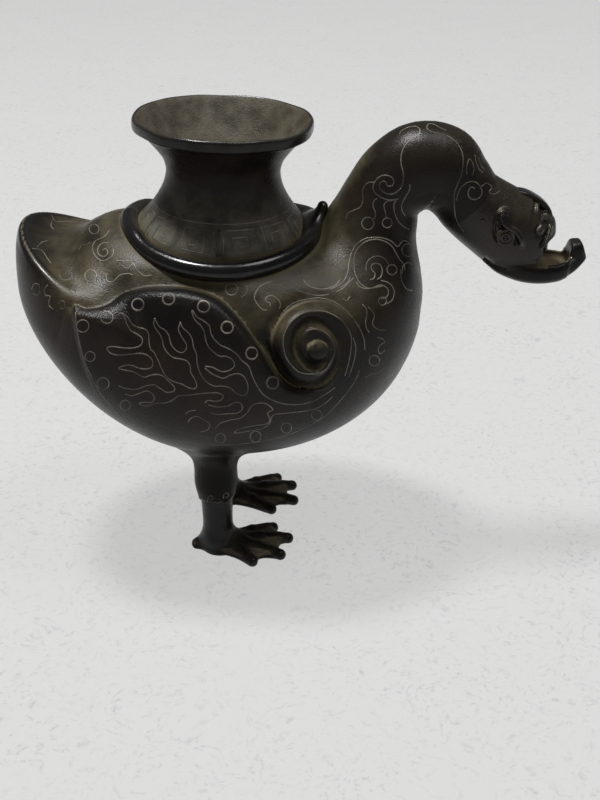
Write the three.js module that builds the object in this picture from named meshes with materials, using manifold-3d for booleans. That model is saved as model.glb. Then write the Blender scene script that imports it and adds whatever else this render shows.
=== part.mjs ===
// Bronze duck water dropper with silver rings: hollow body, trumpet mouth on the back, bill as spout.
// Millimetres. The duck faces +X, its left side is +Y, and it stands on Z = 0.

import * as THREE from 'three';
import { mergeVertices } from 'three/addons/utils/BufferGeometryUtils.js';
import Module from 'manifold-3d';

const wasm = await Module();
wasm.setup();

// Driving dimensions

const fitGap = 0.3;             // between castings that are soldered or seated on each other
const castWall = 3.6;           // wall of the hollow body

const bodyLength = 127.7;       // stern to breast
const tailReach = 65.3;         // stern to the widest section, where the trumpet stands
const bodyWidth = 90;
const widestHeight = 76.6;      // height of the widest line at the widest section
const bellyDepth = 39;          // below the widest line
const backRise = 40;            // above the widest line
const backDip = 3.6;            // saddle of the back before and behind the trumpet
const tailLift = 21;            // how far the widest line climbs towards the stern
const breastLift = 14;          // and towards the breast
// Exponents of the rounded ends, of the keel fore and aft, and of the back along and across
const sternFullness = 2.2;
const breastFullness = 2.05;
const keelFullness = 3;
const sternKeelFullness = 2.02;
const rumpFullness = 3.1;
const backFullness = 2.15;
// Hollow of the tail from the widest section and line: its floor in the middle and at the wing tips
const dish = {
  middle: -51.5, floor: 32.9, wingTip: -35, wingTipFloor: 23.4, span: 72, length: 29, depth: 36,
};

const mouthRise = 30.7;         // lip of the trumpet above the back
const mouthDiameter = 54.6;
const lipHeight = 3.1;
const lipWidth = 1.4;
const mouthLean = 2.2;          // degrees that the trumpet leans towards the head
const waistDiameter = 35;
const waistRise = 13;
const mouthFootDiameter = 52;
const throatDiameter = 30;
const throatWall = 2.6;
const throatDrop = 6;           // from the waist down to where the throat is straight
const spigotDepth = 8;          // how far the trumpet's spigot drops into the back
const flareSink = 4;            // how far the flare is drawn below the back before it is cut to fit

const collarDiameter = 58.4;    // middle of the collar's section
const collarWidth = 5.2;
const collarHeight = 5.6;
const tongueReach = 3.2;        // upturned tip ahead of the collar's middle line
const tongueLift = 8;
const tongueWidth = 9;

const headReach = 51.8;         // breast to the tip of the lower bill
const channelDiameter = 6.4;    // water way through neck and head
const neckSpigotDiameter = 13;
const neckSpigotDepth = 6;
const spigotRoot = 2;           // how far a spigot reaches back into its own casting
const neckSeam = 3;             // station of the neck where it leaves the body
const headSeam = 9;             // station where the head begins
// Heights in these tables are above the widest line.
// Neck and head along their middle line: ahead of the breast, height, half depth, half width
const neckStations = [
  [-23.4, 10, 21, 27], [-20.9, 20, 20, 25], [-18.1, 29.5, 16.8, 19], [-15.2, 39, 14, 14.5],
  [-12.6, 46.2, 12.3, 12.3], [-8.6, 51.8, 12.5, 12], [-2.1, 55.8, 13, 12], [4.9, 55.4, 12.5, 11.6],
  [9.8, 50.8, 10.9, 10.8], [14.3, 44.5, 11.1, 10.6], [21.6, 38.9, 12, 11], [29.1, 34.8, 13.2, 10.8],
  [35.6, 34, 11.8, 9.2], [40, 34.4, 7.4, 5.6], [41.2, 34.6, 2.6, 2],
];
// Water way: ahead of the breast, height
const channelStations = [
  [-30, 2], [-18.1, 29.5], [-12.6, 46.2], [-2.1, 55.8], [4.9, 55.4], [9.8, 50.8], [14.3, 44.5],
  [22, 36], [31, 30.6], [42, 29.6],
];
// Lower bill: ahead of the breast, underside, upper edge, half width
const billStations = [
  [20.2, 24.8, 26.8, 3], [23.4, 22.2, 28.2, 7.6], [29.1, 19.8, 29.6, 9.6], [34, 18.7, 29.8, 9.6],
  [38.8, 18.4, 29, 8.8], [43.2, 18.6, 27.6, 7.4], [47.2, 20.2, 30.4, 5.6], [49.6, 22.2, 31.8, 4.4],
  [51.4, 25, 30, 2.8],
];
const trough = { ahead: 42.3, height: 30.4, length: 11.4, width: 10.4, depth: 13 };
const crestStations = [[26.6, 48.4], [31.6, 47.2], [35.8, 45], [38.4, 42.2]];
const crestWidth = 5;
const crestHeight = 2.4;
const eye = { ahead: 24.7, height: 36.6, diameter: 6.4, seat: 1.4, proud: 0.7 };

const wingRelief = 1.1;         // how far a wing plate stands proud of the flank
const wingSeat = 1.5;           // and how deep it is let in
// Wing outline seen from the side: ahead of the widest section, height
const wingOutline = [
  [-41.8, 22.8], [-37, 22.4], [-28.2, 25.6], [-19.6, 27.6], [-10, 28.3], [-2.8, 26.8], [4.4, 22],
  [12.2, 11.4], [18.8, 1.6], [25, -3.2], [33, -4.2], [38, -4.8], [36.3, -8.6], [30.2, -14.2],
  [22.5, -17.8], [15.6, -19.8], [2.5, -19.5], [-10, -16], [-21.6, -12.9], [-30.8, -10.6], [-36.6, -5.6],
  [-40, 4], [-41.8, 14],
];
// Silver rings on the wing: ahead of the widest section, height
const ringPlaces = [[-23.2, 24.6], [-14.4, 26.3], [-4, 25], [2.6, 20.4], [9.4, 13], [15.4, 4]];
const ringDiameter = 4.3;
const ringWire = 0.65;
const ringDepth = 0.5;
const ringProud = 0.08;
const ringGap = 0.15;

const scroll = { ahead: 29, height: 12.2, boss: 6.4, ridge: 6.4, innerRidge: 4.6, sunk: 1 };
// Middle of the spiral ridge: turn in degrees from straight ahead, distance from the boss
const scrollStations = [[-50, 11.6], [0, 11], [90, 11.2], [180, 10.6], [270, 8.2], [360, 5.6], [450, 3]];

const legSpacing = 30;
const legFromTail = 61;
const ankleHeight = 22.5;       // seam between thigh and shank
const thighDiameter = 16;
const shankDiameter = 11.4;
const tenonDiameter = 6;
const tenonLength = 9;
const thighSpigotDiameter = 8;
const footThickness = 2.2;
const toeDiameter = 4;          // at the tip
const toeRootDiameter = 7;
const webReach = 0.74;          // web edge between two toes, as a share of their length
// Toe tips from the leg's axis: forward, outward. The feet are hand modelled and not quite mirrored.
const toeTips = {
  right: [[20.4, -10.3], [26, -3.3], [23.4, 7.2], [13.5, 11.7]],
  left: [[19.6, -9.9], [27.8, -3.4], [27.1, 7.4], [21.2, 13]],
};
const heelReach = 6;

// Derived places

const sternX = -(bodyLength + headReach) / 2;
const breastX = sternX + bodyLength;
const widestX = sternX + tailReach;
const breastReach = bodyLength - tailReach;
const legX = sternX + legFromTail;
const mouthHeight = widestHeight + backRise + mouthRise;
const waistHeight = widestHeight + backRise + waistRise;
const eyeHeight = widestHeight + eye.height;
const scrollHeight = widestHeight + scroll.height;

// Solids and lofts

function solidFrom(geometry) {
  const bare = geometry.clone();
  bare.deleteAttribute('normal');
  bare.deleteAttribute('uv');
  const merged = mergeVertices(bare, 1e-4);
  const corners = Array.from(merged.index.array);
  const kept = [];
  for (let i = 0; i < corners.length; i += 3) {
    const [a, b, c] = corners.slice(i, i + 3);
    if (a !== b && b !== c && c !== a) kept.push(a, b, c);
  }
  return new wasm.Manifold(new wasm.Mesh({
    numProp: 3,
    vertProperties: new Float32Array(merged.attributes.position.array),
    triVerts: new Uint32Array(kept),
  }));
}

function geometryFrom(solid) {
  const mesh = solid.getMesh();
  const geometry = new THREE.BufferGeometry();
  geometry.setAttribute('position', new THREE.BufferAttribute(mesh.vertProperties, mesh.numProp));
  geometry.setIndex(new THREE.BufferAttribute(mesh.triVerts, 1));
  geometry.computeVertexNormals();
  return geometry;
}

// A closed solid through rings of equal count; each end is closed by a fan around the ring's middle.
function loft(rings) {
  const count = rings[0].length;
  const points = rings.flat();
  const faces = [];
  for (let i = 0; i + 1 < rings.length; i += 1) {
    for (let j = 0; j < count; j += 1) {
      const a = i * count + j;
      const b = i * count + (j + 1) % count;
      faces.push([a, b, a + count], [b, b + count, a + count]);
    }
  }
  const ends = [[rings[0], 0, false], [rings.at(-1), (rings.length - 1) * count, true]];
  for (const [ring, start, last] of ends) {
    const middle = ring.reduce((sum, p) => sum.add(p), new THREE.Vector3()).divideScalar(count);
    points.push(middle);
    for (let j = 0; j < count; j += 1) {
      const pair = [start + j, start + (j + 1) % count];
      faces.push(last ? [...pair, points.length - 1] : [pair[1], pair[0], points.length - 1]);
    }
  }
  const volume = faces.reduce((sum, [a, b, c]) => (
    sum + points[a].dot(new THREE.Vector3().crossVectors(points[b], points[c]))), 0);
  const outward = volume > 0 ? faces : faces.map(([a, b, c]) => [a, c, b]);
  const geometry = new THREE.BufferGeometry();
  geometry.setAttribute('position', new THREE.Float32BufferAttribute(points.flatMap((p) => p.toArray()), 3));
  geometry.setIndex(outward.flat());
  return solidFrom(geometry);
}

function circle(count, place) {
  return Array.from({ length: count }, (_, j) => place((2 * Math.PI * j) / count));
}

function signedPower(value, power) {
  return Math.sign(value) * Math.abs(value) ** power;
}

// A round bar along Z
function post(radius, low, high, x = 0, y = 0, segments = 16) {
  const geometry = new THREE.CylinderGeometry(radius, radius, high - low, segments);
  geometry.rotateX(Math.PI / 2).translate(x, y, (low + high) / 2);
  return solidFrom(geometry);
}

function ellipsoid(center, radii, across = 14, around = 22) {
  const geometry = new THREE.SphereGeometry(1, around, across);
  geometry.rotateX(Math.PI / 2).scale(...radii).translate(...center);
  return solidFrom(geometry);
}

// Body

function bodySection(x, grow) {
  const ahead = x > widestX;
  const reach = (ahead ? breastReach : tailReach) + grow;
  const share = Math.min(Math.abs(x - widestX) / reach, 1);
  const closing = (fullness) => (1 - share ** fullness) ** (1 / fullness);
  const saddle = 4 * backDip * share * (1 - share);
  return {
    middle: widestHeight + (ahead ? breastLift : tailLift) * share ** 2,
    half: (bodyWidth / 2 + grow) * closing(ahead ? breastFullness : sternFullness),
    up: (backRise + grow - saddle) * closing(ahead ? breastFullness : rumpFullness),
    down: (bellyDepth + grow) * closing(ahead ? keelFullness : sternKeelFullness),
  };
}

// The rounded body, grown or shrunk all round
function bodySolid(grow, across = 20, around = 28) {
  const endShare = 0.9995;
  const rings = Array.from({ length: across + 1 }, (_, i) => {
    const turn = Math.sin(((i / across) * 2 - 1) * (Math.PI / 2)) * endShare;
    const x = widestX + turn * ((turn > 0 ? breastReach : tailReach) + grow);
    const { middle, half, up, down } = bodySection(x, grow);
    return circle(around, (a) => {
      const power = Math.sin(a) > 0 ? 2 / backFullness : 1;
      const rise = signedPower(Math.sin(a), power) * (Math.sin(a) > 0 ? up : down);
      return new THREE.Vector3(x, half * signedPower(Math.cos(a), power), middle + rise);
    });
  });
  return loft(rings);
}

function backHeight(x, y) {
  const { middle, half, up } = bodySection(x, 0);
  const share = Math.min(Math.abs(y) / half, 1);
  return middle + up * (1 - share ** backFullness) ** (1 / backFullness);
}

// The hollow between collar and tail rim: it bows forward and down towards the wing tips.
function tailDish(grow) {
  const steps = 14;
  const rings = Array.from({ length: steps + 1 }, (_, i) => {
    const out = (i / steps) * 2 - 1;
    const y = out * (dish.span / 2) * 1.25;
    const bow = (y / (dish.span / 2)) ** 2;
    const x = widestX + dish.middle + (dish.wingTip - dish.middle) * bow;
    const floor = widestHeight + dish.floor + (dish.wingTipFloor - dish.floor) * bow;
    return circle(20, (a) => new THREE.Vector3(
      x + (dish.length / 2 + grow) * Math.cos(a), y,
      floor + dish.depth / 2 + (dish.depth / 2 + grow) * Math.sin(a)));
  });
  return loft(rings);
}

// Distance of the flank from the middle plane, and the direction that it faces on the left side
function flank(x, z, grow) {
  const { middle, half, up, down } = bodySection(x, grow);
  const fullness = z > middle ? backFullness : 2;
  const share = Math.min(Math.abs(z - middle) / (z > middle ? up : down), 1);
  return half * (1 - share ** fullness) ** (1 / fullness);
}

function flankNormal(x, z, grow) {
  const step = 0.5;
  const slopeX = (flank(x + step, z, grow) - flank(x - step, z, grow)) / (2 * step);
  const slopeZ = (flank(x, z + step, grow) - flank(x, z - step, grow)) / (2 * step);
  return new THREE.Vector3(-slopeX, 1, -slopeZ).normalize();
}

// Neck and head

const neckPath = new THREE.CatmullRomCurve3(
  neckStations.map(([ahead, height]) => new THREE.Vector3(breastX + ahead, 0, widestHeight + height)));
const neckGirth = new THREE.CatmullRomCurve3(
  neckStations.map(([, , depth, width]) => new THREE.Vector3(depth, width, 0)));
const lastStation = neckStations.length - 1;

// One ring square to a path that lies in the middle plane
function pathRing(path, t, depth, width, count) {
  const center = path.getPoint(t);
  const tangent = path.getTangent(t);
  const upright = new THREE.Vector3(-tangent.z, 0, tangent.x);
  return circle(count, (a) => center.clone()
    .addScaledVector(upright, depth * Math.cos(a))
    .add(new THREE.Vector3(0, width * Math.sin(a), 0)));
}

// The stretch of neck or head between two stations
function neckStretch(from, to, grow = 0, around = 18, stepsPerStation = 2) {
  const steps = Math.ceil((to - from) * stepsPerStation);
  return loft(Array.from({ length: steps + 1 }, (_, i) => {
    const t = (from + ((to - from) * i) / steps) / lastStation;
    const girth = neckGirth.getPoint(t);
    return pathRing(neckPath, t, girth.x + grow, girth.y + grow, around);
  }));
}

// A round bar square to a seam of the neck, between two distances along it
function neckBar(station, from, to, radius, around = 14) {
  const middle = neckPath.getPoint(station / lastStation);
  const along = neckPath.getTangent(station / lastStation);
  const geometry = new THREE.CylinderGeometry(radius, radius, to - from, around);
  geometry.applyQuaternion(new THREE.Quaternion().setFromUnitVectors(new THREE.Vector3(0, 1, 0), along));
  const center = middle.addScaledVector(along, (from + to) / 2);
  return solidFrom(geometry.translate(...center.toArray()));
}

// Stations per millimetre at a station
function stationStep(station) {
  const near = 0.01;
  const a = neckPath.getPoint((station - near) / lastStation);
  const b = neckPath.getPoint((station + near) / lastStation);
  return (2 * near) / a.distanceTo(b);
}

function waterChannel() {
  const path = new THREE.CatmullRomCurve3(
    channelStations.map(([ahead, height]) => new THREE.Vector3(breastX + ahead, 0, widestHeight + height)));
  const steps = 24;
  return loft(Array.from({ length: steps + 1 }, (_, i) => (
    pathRing(path, i / steps, channelDiameter / 2, channelDiameter / 2, 8))));
}

function lowerBillSolid(grow) {
  const stations = new THREE.CatmullRomCurve3(billStations.map(([ahead, low, high]) => (
    new THREE.Vector3(breastX + ahead, widestHeight + low - grow, widestHeight + high + grow))));
  const widths = new THREE.CatmullRomCurve3(billStations.map(([, , , wide]) => (
    new THREE.Vector3(wide + grow, 0, 0))));
  const steps = 16;
  const rings = Array.from({ length: steps + 1 }, (_, i) => {
    const { x, y: low, z: high } = stations.getPoint(i / steps);
    const wide = widths.getPoint(i / steps).x;
    const end = i === 0 ? -grow : (i === steps ? grow : 0);
    return circle(16, (a) => new THREE.Vector3(
      x + end, wide * signedPower(Math.cos(a), 0.8),
      (low + high) / 2 + ((high - low) / 2) * signedPower(Math.sin(a), 0.8)));
  });
  const tip = rings.at(-1).map((p) => p.clone());
  const middle = tip.reduce((sum, p) => sum.add(p), new THREE.Vector3()).divideScalar(tip.length);
  const tipShrink = 0.5;
  const tipX = breastX + headReach + grow;
  rings.push(tip.map((p) => p.lerp(middle, tipShrink).setX(tipX)));
  return loft(rings);
}

function crestSolid() {
  const path = new THREE.CatmullRomCurve3(
    crestStations.map(([ahead, height]) => new THREE.Vector3(breastX + ahead, 0, widestHeight + height)));
  const steps = 10;
  return loft(Array.from({ length: steps + 1 }, (_, i) => {
    const taper = 0.55 + 0.45 * Math.sin((Math.PI * i) / steps);
    return pathRing(path, i / steps, (crestHeight / 2) * taper, (crestWidth / 2) * taper, 10);
  }));
}

// Depth of the head at the eyes, from the middle plane to the cheek
function cheekHalfWidth() {
  const place = new THREE.Vector3(breastX + eye.ahead, 0, eyeHeight);
  let best = { gap: Infinity, half: 0 };
  for (let station = headSeam; station <= lastStation; station += 0.05) {
    const gap = neckPath.getPoint(station / lastStation).distanceTo(place);
    const girth = neckGirth.getPoint(station / lastStation);
    if (gap < best.gap) best = { gap, half: girth.y * Math.sqrt(1 - Math.min(gap / girth.x, 1) ** 2) };
  }
  return best.half;
}

function eyeSolid(side, grow) {
  const cheek = cheekHalfWidth();
  const radius = eye.diameter / 2 + grow;
  const bottom = cheek - eye.seat - grow;
  const top = cheek + eye.proud + grow;
  const profile = [
    [0, bottom], [radius, bottom], [radius, cheek], [radius * 0.72, top - eye.proud / 4], [0, top],
  ].map(([r, y]) => new THREE.Vector2(r, y));
  const geometry = new THREE.LatheGeometry(profile, 14);
  geometry.rotateX(side > 0 ? 0 : Math.PI).translate(breastX + eye.ahead, 0, eyeHeight);
  return solidFrom(geometry);
}

// Trumpet mouth and collar

function trumpetSolid(body) {
  const rim = mouthDiameter / 2;
  const waist = waistDiameter / 2;
  const foot = mouthFootDiameter / 2;
  const throat = throatDiameter / 2;
  const lipLow = mouthHeight - lipHeight;
  const footLow = backHeight(widestX, foot) - flareSink;
  const between = (low, high, share) => low + (high - low) * share;
  const outer = new THREE.SplineCurve([
    [foot, footLow], [between(foot, waist, 0.06), between(footLow, waistHeight, 0.2)],
    [between(foot, waist, 0.52), between(footLow, waistHeight, 0.62)], [waist, waistHeight],
    [between(waist, rim, 0.09), between(waistHeight, lipLow, 0.3)],
    [between(waist, rim, 0.46), between(waistHeight, lipLow, 0.72)],
    [between(waist, rim, 0.8), between(waistHeight, lipLow, 0.93)], [rim, lipLow],
  ].map(([r, z]) => new THREE.Vector2(r, z)));
  const inner = new THREE.SplineCurve([
    [rim - lipWidth, mouthHeight], [between(throat, rim, 0.5), between(waistHeight, mouthHeight, 0.56)],
    [between(throat, rim, 0.06), waistHeight + 2], [throat, waistHeight - throatDrop],
  ].map(([r, z]) => new THREE.Vector2(r, z)));
  const profile = [...outer.getPoints(12), new THREE.Vector2(rim, mouthHeight), ...inner.getPoints(6),
    new THREE.Vector2(throat, footLow)];
  profile.push(profile[0].clone());
  const geometry = new THREE.LatheGeometry(profile, 28);
  const back = backHeight(widestX, 0);
  geometry.rotateX(Math.PI / 2).translate(0, 0, -back).rotateY(THREE.MathUtils.degToRad(mouthLean));
  const flare = solidFrom(geometry.translate(widestX, 0, back));
  const spigot = post(throat + throatWall, back - spigotDepth, waistHeight - throatDrop, widestX, 0, 28)
    .subtract(post(throat, back - 2 * spigotDepth, waistHeight, widestX, 0, 28));
  return flare.subtract(body).add(spigot);
}

function collarSolid(body, neckRoom, trumpetRoom) {
  const radius = collarDiameter / 2;
  const around = 32;
  const sunk = collarHeight / 2 - 1;
  const rings = circle(around, (turn) => {
    const outward = new THREE.Vector3(Math.cos(turn), Math.sin(turn), 0);
    const center = outward.clone().multiplyScalar(radius).add(new THREE.Vector3(widestX, 0, 0));
    center.z = backHeight(center.x, center.y) + collarHeight / 2 - sunk;
    return circle(8, (a) => center.clone()
      .addScaledVector(outward, (collarWidth / 2) * Math.cos(a))
      .add(new THREE.Vector3(0, 0, (collarHeight / 2) * Math.sin(a))));
  });
  const half = around / 2;
  const rear = loft(rings.slice(half / 2, half * 1.5 + 1));
  const front = loft([...rings.slice(half * 1.5), ...rings.slice(0, half / 2 + 1)]);
  const seat = backHeight(widestX + radius, 0);
  const tongue = loft(Array.from({ length: 7 }, (_, i) => {
    const share = i / 6;
    const taper = 1 - 0.62 * share;
    return circle(12, (a) => new THREE.Vector3(
      widestX + radius - collarWidth / 2 + (tongueReach + collarWidth / 2) * share,
      (tongueWidth / 2) * taper * Math.cos(a),
      seat + 0.4 + tongueLift * share ** 1.6 + 1.6 * taper * Math.sin(a)));
  }));
  return rear.add(front).add(tongue).subtract(body).subtract(neckRoom).subtract(trumpetRoom);
}

// Wings

function wingPrism(side, grow) {
  const places = wingOutline.map(([ahead, height]) => (
    new THREE.Vector3(widestX + ahead, widestHeight + height, 0)));
  const curve = new THREE.CatmullRomCurve3(places, true);
  const count = 36;
  const shape = new THREE.Shape(Array.from({ length: count }, (_, i) => {
    const point = curve.getPoint(i / count);
    const tangent = curve.getTangent(i / count);
    return new THREE.Vector2(point.x + tangent.y * -grow, point.y + tangent.x * grow);
  }));
  const inside = bodyWidth / 4;
  const geometry = new THREE.ExtrudeGeometry(shape, { depth: bodyWidth / 2, bevelEnabled: false });
  geometry.rotateX(Math.PI / 2).translate(0, side > 0 ? inside + bodyWidth / 2 : -inside, 0);
  return solidFrom(geometry);
}

function ringSolid(side, [ahead, height], grow) {
  const outer = ringDiameter / 2 + grow;
  const inner = ringDiameter / 2 - ringWire - grow;
  const corners = [[inner, -ringDepth - grow], [outer, -ringDepth - grow], [outer, ringProud + grow],
    [inner, ringProud + grow], [inner, -ringDepth - grow]];
  const geometry = new THREE.LatheGeometry(corners.map(([r, y]) => new THREE.Vector2(r, y)), 12);
  const x = widestX + ahead;
  const z = widestHeight + height;
  const facing = flankNormal(x, z, wingRelief);
  facing.y *= side;
  geometry.applyQuaternion(new THREE.Quaternion().setFromUnitVectors(new THREE.Vector3(0, 1, 0), facing));
  return solidFrom(geometry.translate(x, side * flank(x, z, wingRelief), z));
}

function scrollSolid(side) {
  const turns = new THREE.CatmullRomCurve3(
    scrollStations.map(([turn, reach]) => new THREE.Vector3(turn, reach, 0)));
  const steps = 30;
  const places = Array.from({ length: steps + 1 }, (_, i) => {
    const { x: turn, y: reach } = turns.getPoint(i / steps);
    const a = THREE.MathUtils.degToRad(turn);
    const x = widestX + scroll.ahead + reach * Math.cos(a);
    const z = scrollHeight + reach * Math.sin(a);
    return new THREE.Vector3(x, side * (flank(x, z, 0) - scroll.sunk), z);
  });
  const path = new THREE.CatmullRomCurve3(places);
  const rings = places.map((place, i) => {
    const share = i / steps;
    const tangent = path.getTangent(share);
    const outward = new THREE.Vector3(0, side, 0);
    const across = new THREE.Vector3().crossVectors(tangent, outward).normalize();
    const start = Math.min(1, 0.35 + 4 * share);
    const radius = ((scroll.ridge + (scroll.innerRidge - scroll.ridge) * share) / 2) * start;
    return circle(8, (a) => place.clone()
      .addScaledVector(across, radius * Math.cos(a))
      .addScaledVector(outward, radius * Math.sin(a)));
  });
  const x = widestX + scroll.ahead;
  const boss = ellipsoid([x, side * (flank(x, scrollHeight, 0) - scroll.sunk), scrollHeight],
    [scroll.boss / 2, scroll.boss / 2, scroll.boss / 2], 6, 10);
  return loft(rings).add(boss);
}

// Legs

function thighSolid(side, body) {
  const y = (side * legSpacing) / 2;
  const top = widestHeight - bellyDepth;
  const rise = top - ankleHeight;
  const radius = thighDiameter / 2;
  const profile = [
    [0, ankleHeight], [radius * 0.78, ankleHeight], [radius * 0.9, ankleHeight + rise * 0.14],
    [radius, ankleHeight + rise * 0.42], [radius * 0.99, ankleHeight + rise * 0.75],
    [radius * 1.12, top + 1], [radius * 1.5, top + 7], [0, top + 7],
  ].map(([r, z]) => new THREE.Vector2(r, z));
  const geometry = new THREE.LatheGeometry(profile, 20);
  const sleeve = solidFrom(geometry.rotateX(Math.PI / 2).translate(legX, y, 0));
  const spigot = post(thighSpigotDiameter / 2, top - 1, top + castWall + 2, legX, y);
  const bore = post(tenonDiameter / 2 + fitGap, ankleHeight - 1, ankleHeight + tenonLength + fitGap, legX, y);
  return sleeve.subtract(body).add(spigot).subtract(bore);
}

function footSolid(side, tips) {
  const y = (side * legSpacing) / 2;
  const shank = shankDiameter / 2;
  const place = ([forward, outward], share) => (
    new THREE.Vector3(legX + forward * share, y + side * outward * share, 0));
  const profile = [
    [0, 0], [shank * 1.2, 0], [shank * 1.12, footThickness], [shank * 0.96, footThickness + 4],
    [shank * 0.92, ankleHeight * 0.6], [shank, ankleHeight - fitGap], [0, ankleHeight - fitGap],
  ].map(([r, z]) => new THREE.Vector2(r, z));
  const stem = new THREE.LatheGeometry(profile, 18);
  let foot = solidFrom(stem.rotateX(Math.PI / 2).translate(legX, y, 0));
  foot = foot.add(post(tenonDiameter / 2, ankleHeight - 1, ankleHeight + tenonLength, legX, y));
  const heelRadii = [heelReach, shank * 0.9, heelReach];
  foot = foot.add(ellipsoid([legX - heelReach / 2, y, footThickness], heelRadii, 6, 10));
  const tipRadius = toeDiameter / 2;
  const rootRadius = toeRootDiameter / 2;
  const nearTip = tips.map((tip) => 1 - tipRadius / Math.hypot(...tip));
  for (const [i, tip] of tips.entries()) {
    const end = place(tip, nearTip[i]).setZ(tipRadius * 0.7);
    const root = new THREE.Vector3(legX, y, rootRadius);
    const along = end.clone().sub(root).normalize();
    const across = new THREE.Vector3().crossVectors(along, new THREE.Vector3(0, 0, 1)).normalize();
    const over = new THREE.Vector3().crossVectors(across, along);
    const rings = [];
    for (const share of [0, 0.35, 0.7, 1]) {
      const radius = rootRadius + (tipRadius - rootRadius) * share;
      rings.push([root.clone().lerp(end, share), radius]);
    }
    for (const turn of [30, 60, 80]) {
      const a = THREE.MathUtils.degToRad(turn);
      rings.push([end.clone().addScaledVector(along, tipRadius * Math.sin(a)), tipRadius * Math.cos(a)]);
    }
    foot = foot.add(loft(rings.map(([center, radius]) => circle(8, (a) => center.clone()
      .addScaledVector(across, radius * Math.cos(a)).addScaledVector(over, radius * Math.sin(a))))));
  }
  const heel = [legX - shank, y];
  const web = new THREE.Shape();
  web.moveTo(...heel);
  for (const [i, tip] of tips.entries()) {
    const corner = place(tip, 0.9);
    if (i === 0) {
      web.lineTo(corner.x, corner.y);
    } else {
      const middle = [(tip[0] + tips[i - 1][0]) / 2, (tip[1] + tips[i - 1][1]) / 2];
      const hollow = place(middle, webReach);
      web.quadraticCurveTo(hollow.x, hollow.y, corner.x, corner.y);
    }
  }
  web.closePath();
  const sheet = { depth: footThickness, bevelEnabled: false, curveSegments: 5 };
  foot = foot.add(solidFrom(new THREE.ExtrudeGeometry(web, sheet)));
  const ground = new THREE.BoxGeometry(bodyLength, bodyWidth, ankleHeight);
  return foot.subtract(solidFrom(ground.translate(legX, 0, -ankleHeight / 2)));
}

// Assembly

const bronze = { color: 0x2e2925, roughness: 0.38, metalness: 1 };
const silver = { color: 0xb9b7b0, roughness: 0.35, metalness: 1 };
const duck = new THREE.Group();

function addPiece(name, solid, finish) {
  const mesh = new THREE.Mesh(geometryFrom(solid), new THREE.MeshStandardMaterial(finish));
  mesh.name = name;
  duck.add(mesh);
}

const sides = [['right', -1], ['left', 1]];
const seam = (station, length) => station + length * stationStep(station);
const body = bodySolid(0);
const bodyRoom = bodySolid(fitGap);
const reservoir = bodySolid(-castWall, 14, 18).subtract(tailDish(castWall));
const channel = waterChannel();
const throat = throatDiameter / 2;

const trumpet = trumpetSolid(bodyRoom);
const trumpetRoom = post(mouthFootDiameter / 2 + fitGap, 0, mouthHeight, widestX, 0, 28);
addPiece('trumpet_mouth', trumpet, bronze);
const collarRoom = post((collarDiameter + collarWidth) / 2 + fitGap, 0, mouthHeight, widestX, 0, 28);
const neckRoom = neckStretch(0, neckSeam + 1, fitGap);
addPiece('collar_ring', collarSolid(bodyRoom, neckRoom, trumpetRoom), bronze);

const wingFloor = bodySolid(-wingSeat);
const wingRoomFloor = bodySolid(-wingSeat - fitGap);
const wingSkin = bodySolid(wingRelief);
const neckRoot = neckStretch(0, neckSeam);
let shell = body.add(neckRoot).subtract(tailDish(0)).subtract(reservoir).subtract(channel);
shell = shell.subtract(post(throat + throatWall + fitGap, widestHeight, mouthHeight, widestX, 0, 28));
shell = shell.subtract(
  neckBar(neckSeam, -neckSpigotDepth - fitGap, spigotRoot, neckSpigotDiameter / 2 + fitGap));
for (const [name, side] of sides) {
  const y = (side * legSpacing) / 2;
  shell = shell.subtract(post(thighSpigotDiameter / 2 + fitGap, 0, widestHeight, legX, y));
  shell = shell.subtract(wingPrism(side, fitGap).subtract(wingRoomFloor));

  let wing = wingPrism(side, 0).intersect(wingSkin).subtract(wingFloor);
  for (const [i, place] of ringPlaces.entries()) {
    wing = wing.subtract(ringSolid(side, place, ringGap));
    addPiece(`${name}_wing_ring_${i + 1}`, ringSolid(side, place, 0), silver);
  }
  addPiece(`${name}_wing`, wing, bronze);
  const spiral = scrollSolid(side).subtract(bodyRoom).subtract(wingPrism(side, fitGap)).subtract(collarRoom);
  addPiece(`${name}_scroll`, spiral, bronze);
  addPiece(`${name}_thigh`, thighSolid(side, bodyRoom), bronze);
  addPiece(`${name}_foot`, footSolid(side, toeTips[name]), bronze);
}
addPiece('body_shell', shell, bronze);

const neck = neckStretch(seam(neckSeam, fitGap), headSeam)
  .add(neckBar(neckSeam, -neckSpigotDepth, spigotRoot, neckSpigotDiameter / 2))
  .add(neckBar(headSeam, -spigotRoot, neckSpigotDepth, neckSpigotDiameter / 2))
  .subtract(channel);
addPiece('neck', neck, bronze);

let head = neckStretch(seam(headSeam, fitGap), lastStation);
head = head.subtract(
  neckBar(headSeam, -spigotRoot, neckSpigotDepth + fitGap, neckSpigotDiameter / 2 + fitGap));
head = head.subtract(channel).subtract(lowerBillSolid(fitGap));
for (const [name, side] of sides) {
  head = head.subtract(eyeSolid(side, fitGap));
  addPiece(`${name}_eye`, eyeSolid(side, 0), silver);
}
addPiece('head', head, bronze);
addPiece('head_crest', crestSolid().subtract(neckStretch(headSeam, lastStation, fitGap)), bronze);

const troughRoom = ellipsoid([breastX + trough.ahead, 0, widestHeight + trough.height],
  [trough.length / 2, trough.width / 2, trough.depth / 2], 12, 20);
addPiece('lower_bill', lowerBillSolid(0).subtract(troughRoom).subtract(channel), bronze);

export default duck;
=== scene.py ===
import math

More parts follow.
